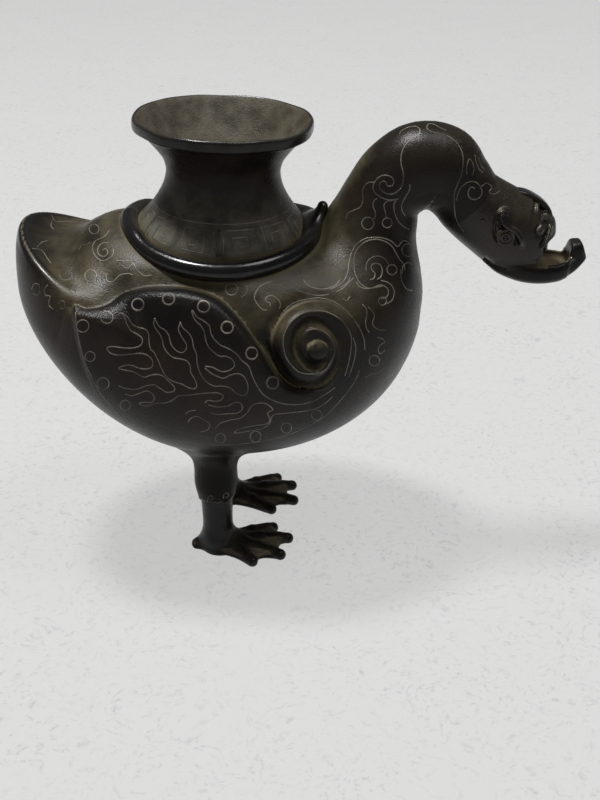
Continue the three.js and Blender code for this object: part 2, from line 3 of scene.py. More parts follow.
import bpy
import numpy as np
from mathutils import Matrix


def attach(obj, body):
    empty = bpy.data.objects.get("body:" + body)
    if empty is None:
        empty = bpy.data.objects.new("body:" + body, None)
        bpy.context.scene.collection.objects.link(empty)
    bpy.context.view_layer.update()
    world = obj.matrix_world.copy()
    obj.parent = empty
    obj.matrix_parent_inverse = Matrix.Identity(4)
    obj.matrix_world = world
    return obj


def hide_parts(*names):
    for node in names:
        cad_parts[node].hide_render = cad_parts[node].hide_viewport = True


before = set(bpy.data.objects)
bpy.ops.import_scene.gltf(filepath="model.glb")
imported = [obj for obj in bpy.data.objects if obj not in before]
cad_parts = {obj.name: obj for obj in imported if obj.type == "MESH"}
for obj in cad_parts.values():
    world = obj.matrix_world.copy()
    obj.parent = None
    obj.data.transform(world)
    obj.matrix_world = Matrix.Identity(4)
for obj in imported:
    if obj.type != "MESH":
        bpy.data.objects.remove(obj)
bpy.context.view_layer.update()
coarser = 1.0
print("frame loaded")

# The camera of the photograph. Shapes are worked out in millimetres, and objects are made in metres.
shot = {
    "place": (-0.45, -342.6, 238.8),
    "tilt": math.radians(28.8),
    "focal": 1150.0,
    "middle": (300.0, 400.0),
    "imageHeight": 800.0,
    "sensor": 36.0,
}
metres = 0.001


def toPixel(p):
    x, y, z = (p[:, i] - shot["place"][i] for i in range(3))
    c, s = math.cos(shot["tilt"]), math.sin(shot["tilt"])
    depth = y * c - z * s
    across = shot["middle"][0] + shot["focal"] * x / depth
    down = shot["middle"][1] - shot["focal"] * (z * c + y * s) / depth
    return np.stack([across, down], 1)


def pixelRay(pixels):
    u = (pixels[:, 0] - shot["middle"][0]) / shot["focal"]
    v = (pixels[:, 1] - shot["middle"][1]) / shot["focal"]
    c, s = math.cos(shot["tilt"]), math.sin(shot["tilt"])
    ray = np.stack([u, c - v * s, -(s + v * c)], 1)
    return ray / np.linalg.norm(ray, axis=1, keepdims=True)


def makeCamera():
    data = bpy.data.cameras.new("camera")
    data.sensor_width = shot["sensor"]
    data.lens = shot["focal"] / shot["imageHeight"] * shot["sensor"]
    data.clip_start = 0.01
    camera = bpy.data.objects.new("camera", data)
    camera.location = [v * metres for v in shot["place"]]
    camera.rotation_euler = (math.pi / 2 - shot["tilt"], 0, 0)
    bpy.context.scene.collection.objects.link(camera)
    bpy.context.scene.camera = camera


makeCamera()


# Lines and small sums

def smoothLine(points, perSpan=6, closed=False):
    p = np.asarray(points, float)
    if closed:
        p = np.vstack([p[-1:], p, p[:2]])
    else:
        p = np.vstack([2 * p[0] - p[1], p, 2 * p[-1] - p[-2]])
    t = np.linspace(0, 1, perSpan, endpoint=False)[:, None]
    spans = []
    for a, b, c, d in zip(p[:-3], p[1:-2], p[2:-1], p[3:]):
        spans.append(0.5 * (2 * b + (c - a) * t + (2 * a - 5 * b + 4 * c - d) * t ** 2
                            + (3 * b - a - 3 * c + d) * t ** 3))
    spans.append(p[-2:-1])
    return np.vstack(spans)


def smoothStep(low, high, value):
    t = np.clip((value - low) / (high - low), 0, 1)
    return t * t * (3 - 2 * t)


def smoothMin(a, b, k):
    h = np.clip(0.5 + 0.5 * (b - a) / k, 0, 1)
    return b + (a - b) * h - k * h * (1 - h)


def smoothMax(a, b, k):
    return -smoothMin(-a, -b, k)


# Distance of pixels to a line, which side they lie on, and how far along it
def lineDistance(pixels, line, batch=6000):
    a, ab = line[:-1], np.diff(line, axis=0)
    length = np.maximum((ab ** 2).sum(1), 1e-9)
    along = np.concatenate([[0], np.sqrt(length).cumsum()])
    gap, side, share = (np.empty(len(pixels)) for _ in range(3))
    for start in range(0, len(pixels), batch):
        part = pixels[start:start + batch]
        rows = np.arange(len(part))
        off = part[:, None] - a
        t = np.clip((off * ab).sum(2) / length, 0, 1)
        left = off - t[..., None] * ab
        square = (left ** 2).sum(2)
        k = square.argmin(1)
        got = slice(start, start + len(part))
        gap[got] = np.sqrt(square[rows, k])
        side[got] = np.sign(ab[k, 0] * off[rows, k, 1] - ab[k, 1] * off[rows, k, 0])
        share[got] = (along[k] + t[rows, k] * np.sqrt(length[k])) / along[-1]
    return gap, side, share


def insideOutline(pixels, outline):
    x, y = pixels.T
    inside = np.zeros(len(pixels), bool)
    for a, b in zip(outline, np.roll(outline, -1, 0)):
        if a[1] != b[1]:
            crosses = (a[1] > y) != (b[1] > y)
            inside ^= crosses & (x < (b[0] - a[0]) * (y - a[1]) / (b[1] - a[1]) + a[0])
    return inside


# A grid of heights over part of the picture, read between its points
def pixelGrid(low, high, step):
    shape = tuple(int((h - l) / step) + 2 for l, h in zip(low, high))
    places = np.indices(shape).reshape(2, -1).T * step + np.asarray(low, float)
    return {"low": np.asarray(low, float), "step": step, "shape": shape, "places": places}


def readGrid(grid, pixels, outside):
    at = (pixels - grid["low"]) / grid["step"]
    limit = np.asarray(grid["shape"]) - 2
    within = ((at >= 0) & (at <= limit)).all(1)
    at = np.clip(at, 0, limit)
    i, j = at.astype(int).T
    fi, fj = (at - at.astype(int)).T
    v = grid["values"]
    near = v[i, j] * (1 - fi) + v[i + 1, j] * fi
    far = v[i, j + 1] * (1 - fi) + v[i + 1, j + 1] * fi
    return np.where(within, near * (1 - fj) + far * fj, outside)


def strokeHeights(places, strokes):
    total = np.zeros(len(places))
    for stroke in strokes:
        line = smoothLine(stroke["line"], 5)
        gap, side, share = lineDistance(places, line)
        width = np.where(side > 0, stroke["widths"][0], stroke["widths"][1])
        fade = smoothStep(0, max(stroke["fade"][0], 1e-6), share)
        fade = fade * smoothStep(0, max(stroke["fade"][1], 1e-6), 1 - share)
        total += stroke["height"] * fade * np.exp(-(gap / width) ** 2)
    return total


# Body, wing relief and tail

body = {
    "widestX": -24.45, "widestHeight": 76.6,
    "breastReach": 62.4, "tailReach": 65.3,
    "halfWidth": 45.0, "bellyDepth": 39.0, "backRise": 40.0, "backDip": 3.6,
    "tailLift": 21.0, "breastLift": 14.0,
    "sternFullness": 2.2, "breastFullness": 2.05,
    "keelFullness": 3.0, "sternKeelFullness": 2.02,
    "rumpFullness": 3.1, "backFullness": 2.15, "nearEnd": 0.9995,
    "cell": 0.85, "box": ((-92, -48, 34), (46, 48, 124)),
}
tailDish = {
    "middle": -51.5, "floor": 32.9, "wingTip": -35.0, "wingTipFloor": 23.4,
    "halfSpan": 36.0, "radius": 14.5, "rise": 18.0,
    "rimRounding": 2.6, "domeRounding": 10.0,
}
reservoir = {"center": (-24.0, 0.0, 82.0), "radii": (36.0, 27.0, 29.0), "throat": 17.65,
             "throatFrom": 95.0}

# Pixel places along the near wing and its spiral
wingView = {"low": (40, 250), "high": (400, 470), "step": 0.8}
wingEdge = [(64, 306.5), (73, 308), (85, 309), (100, 307.5), (111, 302.5), (123, 293.5), (140, 288), (160, 286.2),
            (185, 287), (205, 291.5), (219, 298), (231, 308.5), (243, 322), (255, 339), (267, 357), (276, 371),
            (286, 382), (298, 388), (312, 389.5)]
wingBorder = [(349, 388), (337, 404), (325, 415), (311, 424), (296, 431), (275, 440), (230, 442),
              (200, 437), (150, 426), (120, 415), (100, 400), (88, 375), (80, 350)]
wingTop = [(327, 385), (340, 384)]
spiralRim = [(277, 321), (285, 310), (296, 302), (309, 299), (320, 298), (332, 301), (342, 307),
             (352, 317), (360, 329), (364, 340), (365, 350), (364, 362), (359, 374), (351, 384),
             (335, 388), (313, 389), (297, 385), (284, 374), (275, 361), (271, 348), (272, 334)]
spiralWire = [(305, 331), (315, 329), (325, 332), (332, 340), (335, 350), (332, 361), (325, 370),
              (314, 374), (302, 373), (295, 369), (287, 359), (284, 350), (283, 341), (285, 332),
              (291, 322), (301, 314), (314, 311), (327, 312), (340, 319), (347, 327), (351, 336),
              (351, 349), (349, 361), (345, 376)]
spiralValley = [(258, 330), (264, 343), (271, 357), (278, 367), (287, 379), (299, 385), (315, 385),
                (327, 377), (335, 365), (338, 352), (336, 340), (329, 330), (320, 324), (309, 322),
                (299, 330), (296, 340), (297, 352), (305, 363), (315, 366), (324, 361), (328, 351)]
# The wing's rolled top edge: how high, how steep in pixels, and how strong along its length
wingRoll = {"rise": 2.5, "steep": 3.6, "crest": 9.0, "reach": 27.0, "groove": 1.3, "grooveReach": (15.0, 5.0),
            "strength": [(0, 0), (0.05, 0.5), (0.12, 0.75), (0.28, 1), (0.85, 1), (1, 0)]}
spiralDisc = {"place": (316, 346), "radius": 45.5, "toward": math.radians(152), "sharpness": 3.0, "rise": 2.5,
              "steep": 3.4, "crest": 10.0, "reach": 26.0, "groove": 1.1, "grooveReach": 9.0,
              "grooveInner": 4.0}
spiralBoss = {"place": (318, 351), "radius": 11.0, "height": 2.2, "roundness": 0.6}
wingStep = {"height": 1.0, "soft": 2.0, "fadeFrom": 335.0, "fadeTo": 410.0, "rear": (85.0, 130.0),
            "reach": 32.0}

wingStrokes = [
    {"line": spiralWire, "height": 1.0, "widths": (5.5, 5.5), "fade": (0.06, 0.3)},
    {"line": spiralValley, "height": -1.7, "widths": (4.6, 4.6), "fade": (0.1, 0.1)},
]


# A rounded step: inside pixels are positive
def rolledStep(inside, shape):
    rise = 1 - np.exp(-np.maximum(inside, 0) / shape["steep"])
    return shape["rise"] * rise * np.exp(-(np.maximum(inside - shape["crest"], 0) / shape["reach"]) ** 2)


def makeWingRelief():
    grid = pixelGrid(**wingView)
    places = grid["places"]
    height = strokeHeights(places, wingStrokes)
    gap, side, share = lineDistance(places, smoothLine(wingEdge, 6))
    inside = gap * side
    strength = np.interp(share, *np.transpose(wingRoll["strength"]))
    groove = np.exp(-(inside / np.where(side > 0, wingRoll["grooveReach"][1], wingRoll["grooveReach"][0])) ** 2)
    height += strength * (rolledStep(inside, wingRoll) - wingRoll["groove"] * groove)

    off = places - spiralDisc["place"]
    inside = spiralDisc["radius"] - np.hypot(*off.T)
    turn = np.arctan2(-off[:, 1], off[:, 0]) - spiralDisc["toward"]
    strength = np.abs(np.cos(turn / 2)) ** spiralDisc["sharpness"]
    groove = np.exp(-(np.minimum(inside, 0) / spiralDisc["grooveReach"]) ** 2)
    groove = groove * np.exp(-np.maximum(inside, 0) / spiralDisc["grooveInner"])
    height += strength * (rolledStep(inside, spiralDisc) - spiralDisc["groove"] * groove)

    rim = smoothLine(wingEdge[1:] + wingTop + wingBorder, 4, True)
    gap = lineDistance(places, rim)[0]
    inside = np.where(insideOutline(places, rim), gap, -gap)
    fade = 1 - smoothStep(wingStep["fadeFrom"], wingStep["fadeTo"], places[:, 1])
    rear = 1 - smoothStep(*wingStep["rear"], places[:, 0])
    height += wingStep["height"] * fade * rear * (smoothStep(-wingStep["soft"], wingStep["soft"], inside)
                                                  - smoothStep(0, wingStep["reach"], inside))
    boss = np.hypot(*(places - spiralBoss["place"]).T) / spiralBoss["radius"]
    height += spiralBoss["height"] * np.clip(1 - boss ** 2, 0, 1) ** spiralBoss["roundness"]
    wing = dict(grid, values=-inside.reshape(grid["shape"]))
    spiral = smoothLine(spiralRim, 4, True)
    gap = lineDistance(places, spiral)[0]
    ring = np.where(insideOutline(places, spiral), -gap, gap)
    scroll = dict(grid, values=np.maximum(ring, inside).reshape(grid["shape"]))
    return dict(grid, values=height.reshape(grid["shape"])), wing, scroll


wingRelief, wingRegion, scrollRegion = makeWingRelief()
print("wing relief drawn")


def hullRaw(p):
    x, y, z = p.T
    ahead = x > body["widestX"]
    share = np.abs(x - body["widestX"]) / np.where(ahead, body["breastReach"], body["tailReach"])
    inner = np.minimum(share, body["nearEnd"])

    def closing(front, rear):
        fullness = np.where(ahead, body[front], body[rear])
        return (1 - inner ** fullness) ** (1 / fullness)

    middle = body["widestHeight"] + np.where(ahead, body["breastLift"], body["tailLift"]) * share ** 2
    saddle = body["backDip"] * np.sin(np.pi * inner) ** 2
    over = z > middle
    tall = np.where(over, (body["backRise"] - saddle) * closing("breastFullness", "rumpFullness"),
                    body["bellyDepth"] * closing("keelFullness", "sternKeelFullness"))
    wide = body["halfWidth"] * closing("breastFullness", "sternFullness")
    n = np.where(over, body["backFullness"], 2.0)
    full = np.where(over, body["backRise"], body["bellyDepth"])
    ay = np.abs(y) / body["halfWidth"] + 1e-9
    az = np.abs(z - middle) / full + 1e-9
    size = ay ** n + az ** n
    limit = (ay ** n / (wide / body["halfWidth"]) ** n + az ** n / (tall / full) ** n) / size
    return size ** (2 / n) - limit ** (-2 / n) + 2 * np.maximum(share - body["nearEnd"], 0)


def slopeOf(raw, p, value, axes=(0, 1, 2), step=0.02):
    square = 0
    for axis in axes:
        q = p.copy()
        q[:, axis] += step
        square = square + ((raw(q) - value) / step) ** 2
    return np.sqrt(square) + 1e-6


def hullField(p):
    value = hullRaw(p)
    return value / slopeOf(hullRaw, p, value)


def dishField(p):
    x, y, z = p.T
    bow = (y / tailDish["halfSpan"]) ** 2
    mid = body["widestX"] + tailDish["middle"] + (tailDish["wingTip"] - tailDish["middle"]) * bow
    floor = body["widestHeight"] + tailDish["floor"]
    floor = floor + (tailDish["wingTipFloor"] - tailDish["floor"]) * bow
    a = (x - mid) / tailDish["radius"]
    b = (z - floor - tailDish["rise"]) / tailDish["rise"]
    lean = 2 * y * (tailDish["wingTip"] - tailDish["middle"]) / tailDish["halfSpan"] ** 2
    slope = 2 * np.sqrt((a / tailDish["radius"]) ** 2 * (1 + lean ** 2) + (b / tailDish["rise"]) ** 2)
    rounding = np.where(a < 0, tailDish["rimRounding"],
                        tailDish["rimRounding"] + (tailDish["domeRounding"] - tailDish["rimRounding"])
                        * smoothStep(0, 0.8, a))
    return (a * a + b * b - 1) / (slope + 1e-6), rounding


def backHeight(x, y):
    low = np.stack([x, y, np.full_like(x, 90.0)], 1)
    high = np.stack([x, y, np.full_like(x, 125.0)], 1)
    for _ in range(30):
        half = (low + high) / 2
        under = hullRaw(half)[:, None] < 0
        low = np.where(under, half, low)
        high = np.where(under, high, half)
    return half[:, 2]


# Tubes along a line in the middle plane: x, height, half depth and half width at each station

tubeSteps = 24  # places on a tube's line from one station to the next


def makeTube(stations, perSpan=tubeSteps, squareness=2.0):
    line = smoothLine(stations, perSpan)
    run = np.gradient(line, axis=0)
    length = np.hypot(run[:, 0], run[:, 1])
    return {"line": line, "tangent": run[:, :2] / length[:, None], "taper": run[:, 2:] / length[:, None],
            "squareness": squareness}


def tubeField(p, tube, batch=20000):
    line, tangent, taper = tube["line"], tube["tangent"], tube["taper"]
    out = np.empty(len(p))
    for start in range(0, len(p), batch):
        q = p[start:start + batch]
        dx = q[:, :1] - line[:, 0]
        dz = q[:, 2:] - line[:, 1]
        k = (dx * dx + dz * dz).argmin(1)
        rows = np.arange(len(q))
        dx, dz = dx[rows, k], dz[rows, k]
        tx, tz = tangent[k].T
        run = dx * tx + dz * tz
        end = ((k == 0) & (run < 0)) | ((k == len(line) - 1) & (run > 0))
        depth = line[k, 2] + np.where(end, 0, taper[k, 0] * run)
        width = line[k, 3] + np.where(end, 0, taper[k, 1] * run)
        over = dz * tx - dx * tz
        ends = np.minimum(depth, width)
        shares = np.abs([over / depth, q[:, 1] / width, np.where(end, run / ends, 0)]) + 1e-9
        n = tube["squareness"]
        away = (shares ** n).sum(0) ** (1 / n)
        slope = np.sqrt(((shares ** (n - 1) / [depth, width, ends]) ** 2).sum(0)) * away ** (1 - n)
        out[start:start + batch] = (away - 1) / (slope + 1e-6)
    return out


# Neck, head and bill: millimetres ahead of the breast, height above the widest line, half depth, half width
breastX = body["widestX"] + body["breastReach"]
neck = {
    "stations": [(-23.4, 10, 21, 27), (-20.9, 20, 20, 25), (-18.1, 29.5, 16.8, 19), (-15.2, 39, 14, 14.5),
                 (-12.6, 46.2, 12.3, 12.3), (-8.6, 51.8, 12.5, 12), (-2.1, 55.8, 13, 12),
                 (4.9, 55.4, 12.5, 11.6), (9.8, 50.8, 10.9, 10.8), (14.3, 44.5, 11.1, 10.6),
                 (21.6, 38.9, 12, 11), (29.1, 34.4, 12.7, 10.8), (35.6, 33.6, 11.3, 9.2),
                 (39.5, 34.3, 8.3, 6.4), (41.2, 34.6, 5.2, 4.4), (42.2, 34.6, 2.6, 2)],
    "rootSeam": 3, "headSeam": 9, "blend": 7.0, "browEnd": 79.5, "browRounding": 1.6,
    "bend": {"station": 6.5, "under": (5.0, 10.0), "soft": 5.0},
    "cell": 0.8, "box": ((-2, -22, 98), (78, 22, 150)),
}
bill = {
    "stations": [(20.2, 24.8, 26.8, 3), (23.4, 22.2, 28.2, 7.6), (29.1, 19.8, 29.0, 9.6),
                 (34, 18.7, 28.2, 9.6), (38.8, 18.4, 26.9, 8.6), (43.2, 18.6, 26.6, 6.9),
                 (45.7, 19.3, 26.4, 5.4), (46.5, 19.8, 29.0, 4.7), (47.3, 20.3, 31.2, 4.2),
                 (49.6, 22.2, 31.7, 3.5), (52.2, 25.6, 31.2, 3.0)],
    "squareness": 2.5, "tipSquareness": 3.4, "tipFrom": (83.0, 86.0), "endLean": 0.34, "endFoot": 103.0,
    "blend": 1.6, "endRounding": 1.0, "capMiddle": (66.0, 0.0, 101.6),
    "cell": 0.42, "box": ((40, -14, 92), (92, 14, 134)), "steps": 40,
    "jawLine": [(50, 98), (56, 99.5), (74.6, 103.4), (78.5, 104), (80.5, 108), (82, 125)],
    "trough": {"floor": 99.8, "top": 106.0, "from": 73.6, "to": 84.6, "wall": 1.5, "floorRounding": 3.0,
               "endRounding": 1.0, "rounding": 0.7},
    "gape": {"center": (80.9, 0, 107.2), "radii": (3.2, 13.0, 4.4), "sweep": 3.4, "sweepAt": 8.0, "blend": 0.5},
}


def shifted(stations):
    rows = np.asarray(stations, float).copy()
    rows[:, 0] += breastX
    rows[:, 1] += body["widestHeight"]
    return rows


neckTube = makeTube(shifted(neck["stations"]))
billRows = np.asarray(bill["stations"], float)
billRows[:, 0] += breastX
billRows[:, 1:3] += body["widestHeight"]
billLine = smoothLine(billRows, bill["steps"])


# The neck as two halves that melt together inside its bend
def tubePart(tube, part):
    return {key: value[part] if key != "squareness" else value for key, value in tube.items()}


bendIndex = int(neck["bend"]["station"] * tubeSteps)
risingNeck = tubePart(neckTube, slice(None, bendIndex + 1))
fallingNeck = tubePart(neckTube, slice(bendIndex, None))


def neckField(p):
    under = neckTube["line"][bendIndex, 1] - p[:, 2]
    soft = neck["bend"]["soft"] * smoothStep(*neck["bend"]["under"], under) + 1e-6
    return smoothMin(tubeField(p, risingNeck), tubeField(p, fallingNeck), soft)


# Raised and sunk lines on the side of the head, in pixels
headView = {"low": (470, 180), "high": (600, 292), "step": 0.4}
headStrokes = [
    {"line": [(508, 213), (505, 210.5), (501.5, 212), (500.5, 217), (503, 224), (509, 229), (515, 232),
              (519, 237), (521.5, 243), (520.5, 250)],
     "height": 1.5, "widths": (2.5, 2.5), "fade": (0.02, 0.12)},
    {"line": [(507.5, 214.5), (506, 213.5)], "height": -0.5, "widths": (1.5, 1.5), "fade": (0, 0)},
    {"line": [(498.5, 220), (501, 228), (507, 233.2), (512.5, 236), (515, 241), (515, 247)],
     "height": -0.9, "widths": (1.8, 1.8), "fade": (0.1, 0.2)},
    {"line": [(499, 214), (495.5, 220), (494, 228), (495.5, 237), (499.5, 244)],
     "height": -0.8, "widths": (1.7, 1.7), "fade": (0.1, 0.2)},
    {"line": [(483, 218), (483, 220)], "height": -0.55, "widths": (1.7, 1.7), "fade": (0, 0)},
    {"line": [(538.6, 202), (537.8, 208), (539, 213.5), (543, 217.5), (547.5, 218.4)],
     "height": 0.9, "widths": (1.6, 1.6), "fade": (0.1, 0.15)},
    {"line": [(541.6, 204), (540.8, 208.5), (542.2, 212.8), (545.5, 215)],
     "height": -0.9, "widths": (1.5, 1.5), "fade": (0.1, 0.2)},
    {"line": [(544, 206), (546.8, 205), (549, 207.5), (548.3, 210.8), (545.8, 211), (545, 209)],
     "height": 0.6, "widths": (1.2, 1.2), "fade": (0, 0.1)},
    {"line": [(539, 237.5), (535.8, 234.5), (536.4, 228.5), (539.8, 224), (545, 221.5), (548.8, 223.5), (548, 229.5),
              (544.2, 235.5), (539, 237.5)],
     "height": -0.65, "widths": (1.3, 1.3), "fade": (0, 0)},
    {"line": [(540, 233.5), (542.6, 229.6), (545.4, 226)],
     "height": 0.5, "widths": (3.2, 3.2), "fade": (0, 0)},
    {"line": [(550.5, 224), (550.8, 229), (549.5, 235), (546.8, 241.5), (543.6, 247), (542, 251)],
     "height": 0.8, "widths": (1.7, 1.7), "fade": (0.1, 0.1)},
    {"line": [(546, 264.2), (554, 265.8), (564, 262.8), (571, 259), (575, 259.5)],
     "height": 0.7, "widths": (1.8, 1.8), "fade": (0.12, 0.03)},
    {"line": [(546.6, 233), (544, 239), (540.6, 244.5), (538.6, 249)],
     "height": -0.6, "widths": (1.8, 1.8), "fade": (0.15, 0.35)},
    {"line": [(484, 257.5), (490, 263), (499, 267.5), (510, 269)],
     "height": -0.9, "widths": (1.7, 1.7), "fade": (0.02, 0.45)},
]


def makeHeadRelief():
    grid = pixelGrid(**headView)
    return dict(grid, values=strokeHeights(grid["places"], headStrokes).reshape(grid["shape"]))


headRelief = makeHeadRelief()
print("head relief drawn")


def billSection(p):
    x = np.clip(p[:, 0], billLine[0, 0], billLine[-1, 0])
    low, high, wide = (np.interp(x, billLine[:, 0], billLine[:, i]) for i in (1, 2, 3))
    n = bill["squareness"] + (bill["tipSquareness"] - bill["squareness"]) * smoothStep(*bill["tipFrom"], p[:, 0])
    across = (np.abs(p[:, 1]) / wide + 1e-9) ** n
    over = (np.abs(p[:, 2] - (low + high) / 2) / ((high - low) / 2) + 1e-9) ** n
    return (across + over) ** (1 / n) - 1


def billField(p):
    value = billSection(p)
    section = value / slopeOf(billSection, p, value, (1, 2))
    front = p[:, 0] - billLine[-1, 0] + bill["endLean"] * np.maximum(p[:, 2] - bill["endFoot"], 0)
    ends = np.maximum(front, billLine[0, 0] - p[:, 0])
    return smoothMax(section, ends, bill["endRounding"])


def ballField(p, center, radii):
    off = (p - center) / np.asarray(radii, float)
    slope = 2 * np.sqrt(((off / radii) ** 2).sum(1))
    away = np.sqrt((off ** 2).sum(1))
    return 2 * away * (away - 1) / (slope + 1e-6)


# The open trough of the lower bill and the gap over it
def mouthField(p):
    trough, gape = bill["trough"], bill["gape"]
    wide = np.interp(p[:, 0], billLine[:, 0], billLine[:, 3]) - trough["wall"]
    channel = smoothMax(np.abs(p[:, 1]) - wide, trough["floor"] - p[:, 2], trough["floorRounding"])
    ends = np.maximum(p[:, 0] - trough["to"], trough["from"] - p[:, 0])
    channel = smoothMax(channel, np.maximum(ends, p[:, 2] - trough["top"]), trough["endRounding"])
    swept = p.copy()
    swept[:, 0] += gape["sweep"] * (p[:, 1] / gape["sweepAt"]) ** 2
    return smoothMin(channel, ballField(swept, gape["center"], gape["radii"]), gape["blend"])


# Legs
leg = {
    "x": -28.75, "y": 15.0, "ankle": 21.9, "blend": 6.0, "bottomRounding": 1.6, "seam": 12.4, "seamTop": 55.0,
    "cell": 0.6, "box": ((-46, -34, 18), (-10, 4, 62)),
    "profile": [(6.2, 21.9), (6.7, 24.0), (7.3, 28.0), (7.25, 33.5), (8.0, 38.6), (10.4, 44.6)],
}
legLine = smoothLine([(z, r) for r, z in leg["profile"]], 8)


def thighField(p):
    out = np.hypot(p[:, 0] - leg["x"], np.abs(p[:, 1]) - leg["y"])
    radius = np.interp(p[:, 2], legLine[:, 0], legLine[:, 1])
    capped = np.maximum(out - radius, p[:, 2] - leg["profile"][-1][1])
    return smoothMax(capped, leg["ankle"] - p[:, 2], leg["bottomRounding"])


# The whole casting: body, tail, wings, neck, head and thighs in one smooth surface
casting = {"neckFrom": (-6.0, 70.0), "headFrom": 46.0, "legsBelow": 62.0, "wingFade": (4.0, 12.0),
           "headFade": (0.8, 3.8)}


def castingField(p, mouthCut=True):
    q = p.copy()
    q[:, 1] = -np.abs(q[:, 1])
    pixels = toPixel(q)
    out = hullField(q) - readGrid(wingRelief, pixels, 0.0) * smoothStep(*casting["wingFade"], -q[:, 1])
    dish, rounding = dishField(q)
    out = smoothMax(out, -dish, rounding)
    near = (q[:, 0] > casting["neckFrom"][0]) & (q[:, 2] > casting["neckFrom"][1])
    if near.any():
        part = q[near]
        tube = neckField(part)
        front = part[:, 0] > casting["headFrom"]
        if front.any():
            face = part[front]
            brow = smoothMax(tube[front], face[:, 0] - neck["browEnd"], neck["browRounding"])
            cheek = smoothMin(brow, billField(face), bill["blend"])
            fade = smoothStep(*casting["headFade"], -face[:, 1])
            cheek -= readGrid(headRelief, pixels[near][front], 0.0) * fade
            if mouthCut:
                cheek = smoothMax(cheek, -mouthField(face), bill["trough"]["rounding"])
            tube[front] = cheek
        out[near] = smoothMin(out[near], tube, neck["blend"])
    low = q[:, 2] < casting["legsBelow"]
    if low.any():
        out[low] = smoothMin(out[low], thighField(q[low]), leg["blend"])
    return out


def hollowField(p):
    chamber = ballField(p, reservoir["center"], reservoir["radii"])
    well = np.hypot(p[:, 0] - body["widestX"], p[:, 1]) - reservoir["throat"]
    return np.minimum(chamber, np.maximum(well, reservoir["throatFrom"] - p[:, 2]))


def bodyField(p):
    return np.maximum(castingField(p), -hollowField(p))


# Surface nets: a mesh of quads over the zero surface of a field

def inBatches(field, p, batch=150000):
    return np.concatenate([field(p[i:i + batch]) for i in range(0, len(p), batch)])


def surfaceNet(field, low, high, cell, block=4):
    low = np.asarray(low, float)
    count = np.ceil((np.asarray(high) - low) / (cell * block)).astype(int)
    blocks = np.indices(count).reshape(3, -1).T
    value = inBatches(field, low + (blocks + 0.5) * cell * block)
    near = blocks[np.abs(value) < 1.35 * cell * block]
    shape = tuple(count * block + 1)
    grid = value.reshape(count)
    for axis in range(3):
        grid = np.repeat(grid, block, axis)
    grid = np.pad(grid, [(0, 1)] * 3, mode="edge")
    inside = np.indices((block + 1,) * 3).reshape(3, -1).T
    fine = (near[:, None] * block + inside).reshape(-1, 3)
    flat = np.unique(np.ravel_multi_index(fine.T, shape))
    fine = np.stack(np.unravel_index(flat, shape), 1)
    grid.reshape(-1)[flat] = inBatches(field, low + fine * cell)

    solid = grid < 0
    places, owners, quads = [], [], []
    for axis in range(3):
        unit = np.eye(3, dtype=int)[axis]
        first = [slice(None)] * 3
        second = [slice(None)] * 3
        first[axis], second[axis] = slice(None, -1), slice(1, None)
        edges = np.argwhere(solid[tuple(first)] != solid[tuple(second)])
        others = [(axis + 1) % 3, (axis + 2) % 3]
        keep = np.all([(edges[:, o] > 0) & (edges[:, o] < shape[o] - 1) for o in others], axis=0)
        edges = edges[keep]
        a = grid[tuple(edges.T)]
        b = grid[tuple((edges + unit).T)]
        place = edges.astype(float)
        place[:, axis] += a / (a - b)
        ring = []
        for du, dv in [(-1, -1), (0, -1), (0, 0), (-1, 0)]:
            corner = edges.copy()
            corner[:, others[0]] += du
            corner[:, others[1]] += dv
            ring.append(np.ravel_multi_index(corner.T, shape))
        ring = np.stack(ring, 1)
        places.append(np.repeat(place, 4, 0))
        owners.append(ring.reshape(-1))
        quads.append(np.where((a < 0)[:, None], ring, ring[:, ::-1]))
    owner, index = np.unique(np.concatenate(owners), return_inverse=True)
    places = np.concatenate(places)
    hits = np.bincount(index)
    verts = np.stack([np.bincount(index, places[:, i]) / hits for i in range(3)], 1)
    faces = np.searchsorted(owner, np.concatenate(quads))
    return low + verts * cell, faces


def gradientOf(field, p, step=0.22):
    sides = []
    for axis in range(3):
        shift = np.zeros(3)
        shift[axis] = step
        sides.append((field(p + shift) - field(p - shift)) / (2 * step))
    return np.stack(sides, 1)


def settle(field, p, cell, rounds=2):
    for _ in range(rounds):
        g = gradientOf(field, p)
        square = np.maximum((g ** 2).sum(1), 0.05)
        move = np.clip(field(p) / np.sqrt(square), -cell, cell)
        p = p - g / np.sqrt(square)[:, None] * move[:, None]
    return p


def normalsOf(field, p):
    g = gradientOf(field, p)
    return g / np.maximum(np.linalg.norm(g, axis=1, keepdims=True), 1e-9)


# Evens out the quads along the surface
def relax(field, verts, faces, cell, rounds=3):
    edges = np.concatenate([faces[:, [i, (i + 1) % 4]] for i in range(4)])
    hits = np.maximum(np.bincount(edges[:, 0], minlength=len(verts)), 1)
    for _ in range(rounds):
        mean = np.stack([np.bincount(edges[:, 0], verts[edges[:, 1], i], len(verts)) for i in range(3)], 1)
        shift = mean / hits[:, None] - verts
        n = normalsOf(field, verts)
        shift -= n * (shift * n).sum(1, keepdims=True)
        verts = settle(field, verts + 0.5 * shift, cell, 1)
    return verts


def netOf(field, low, high, cell):
    cell = cell * coarser
    verts, faces = surfaceNet(field, low, high, cell)
    verts = settle(field, verts, cell)
    return relax(field, verts, faces, cell), faces


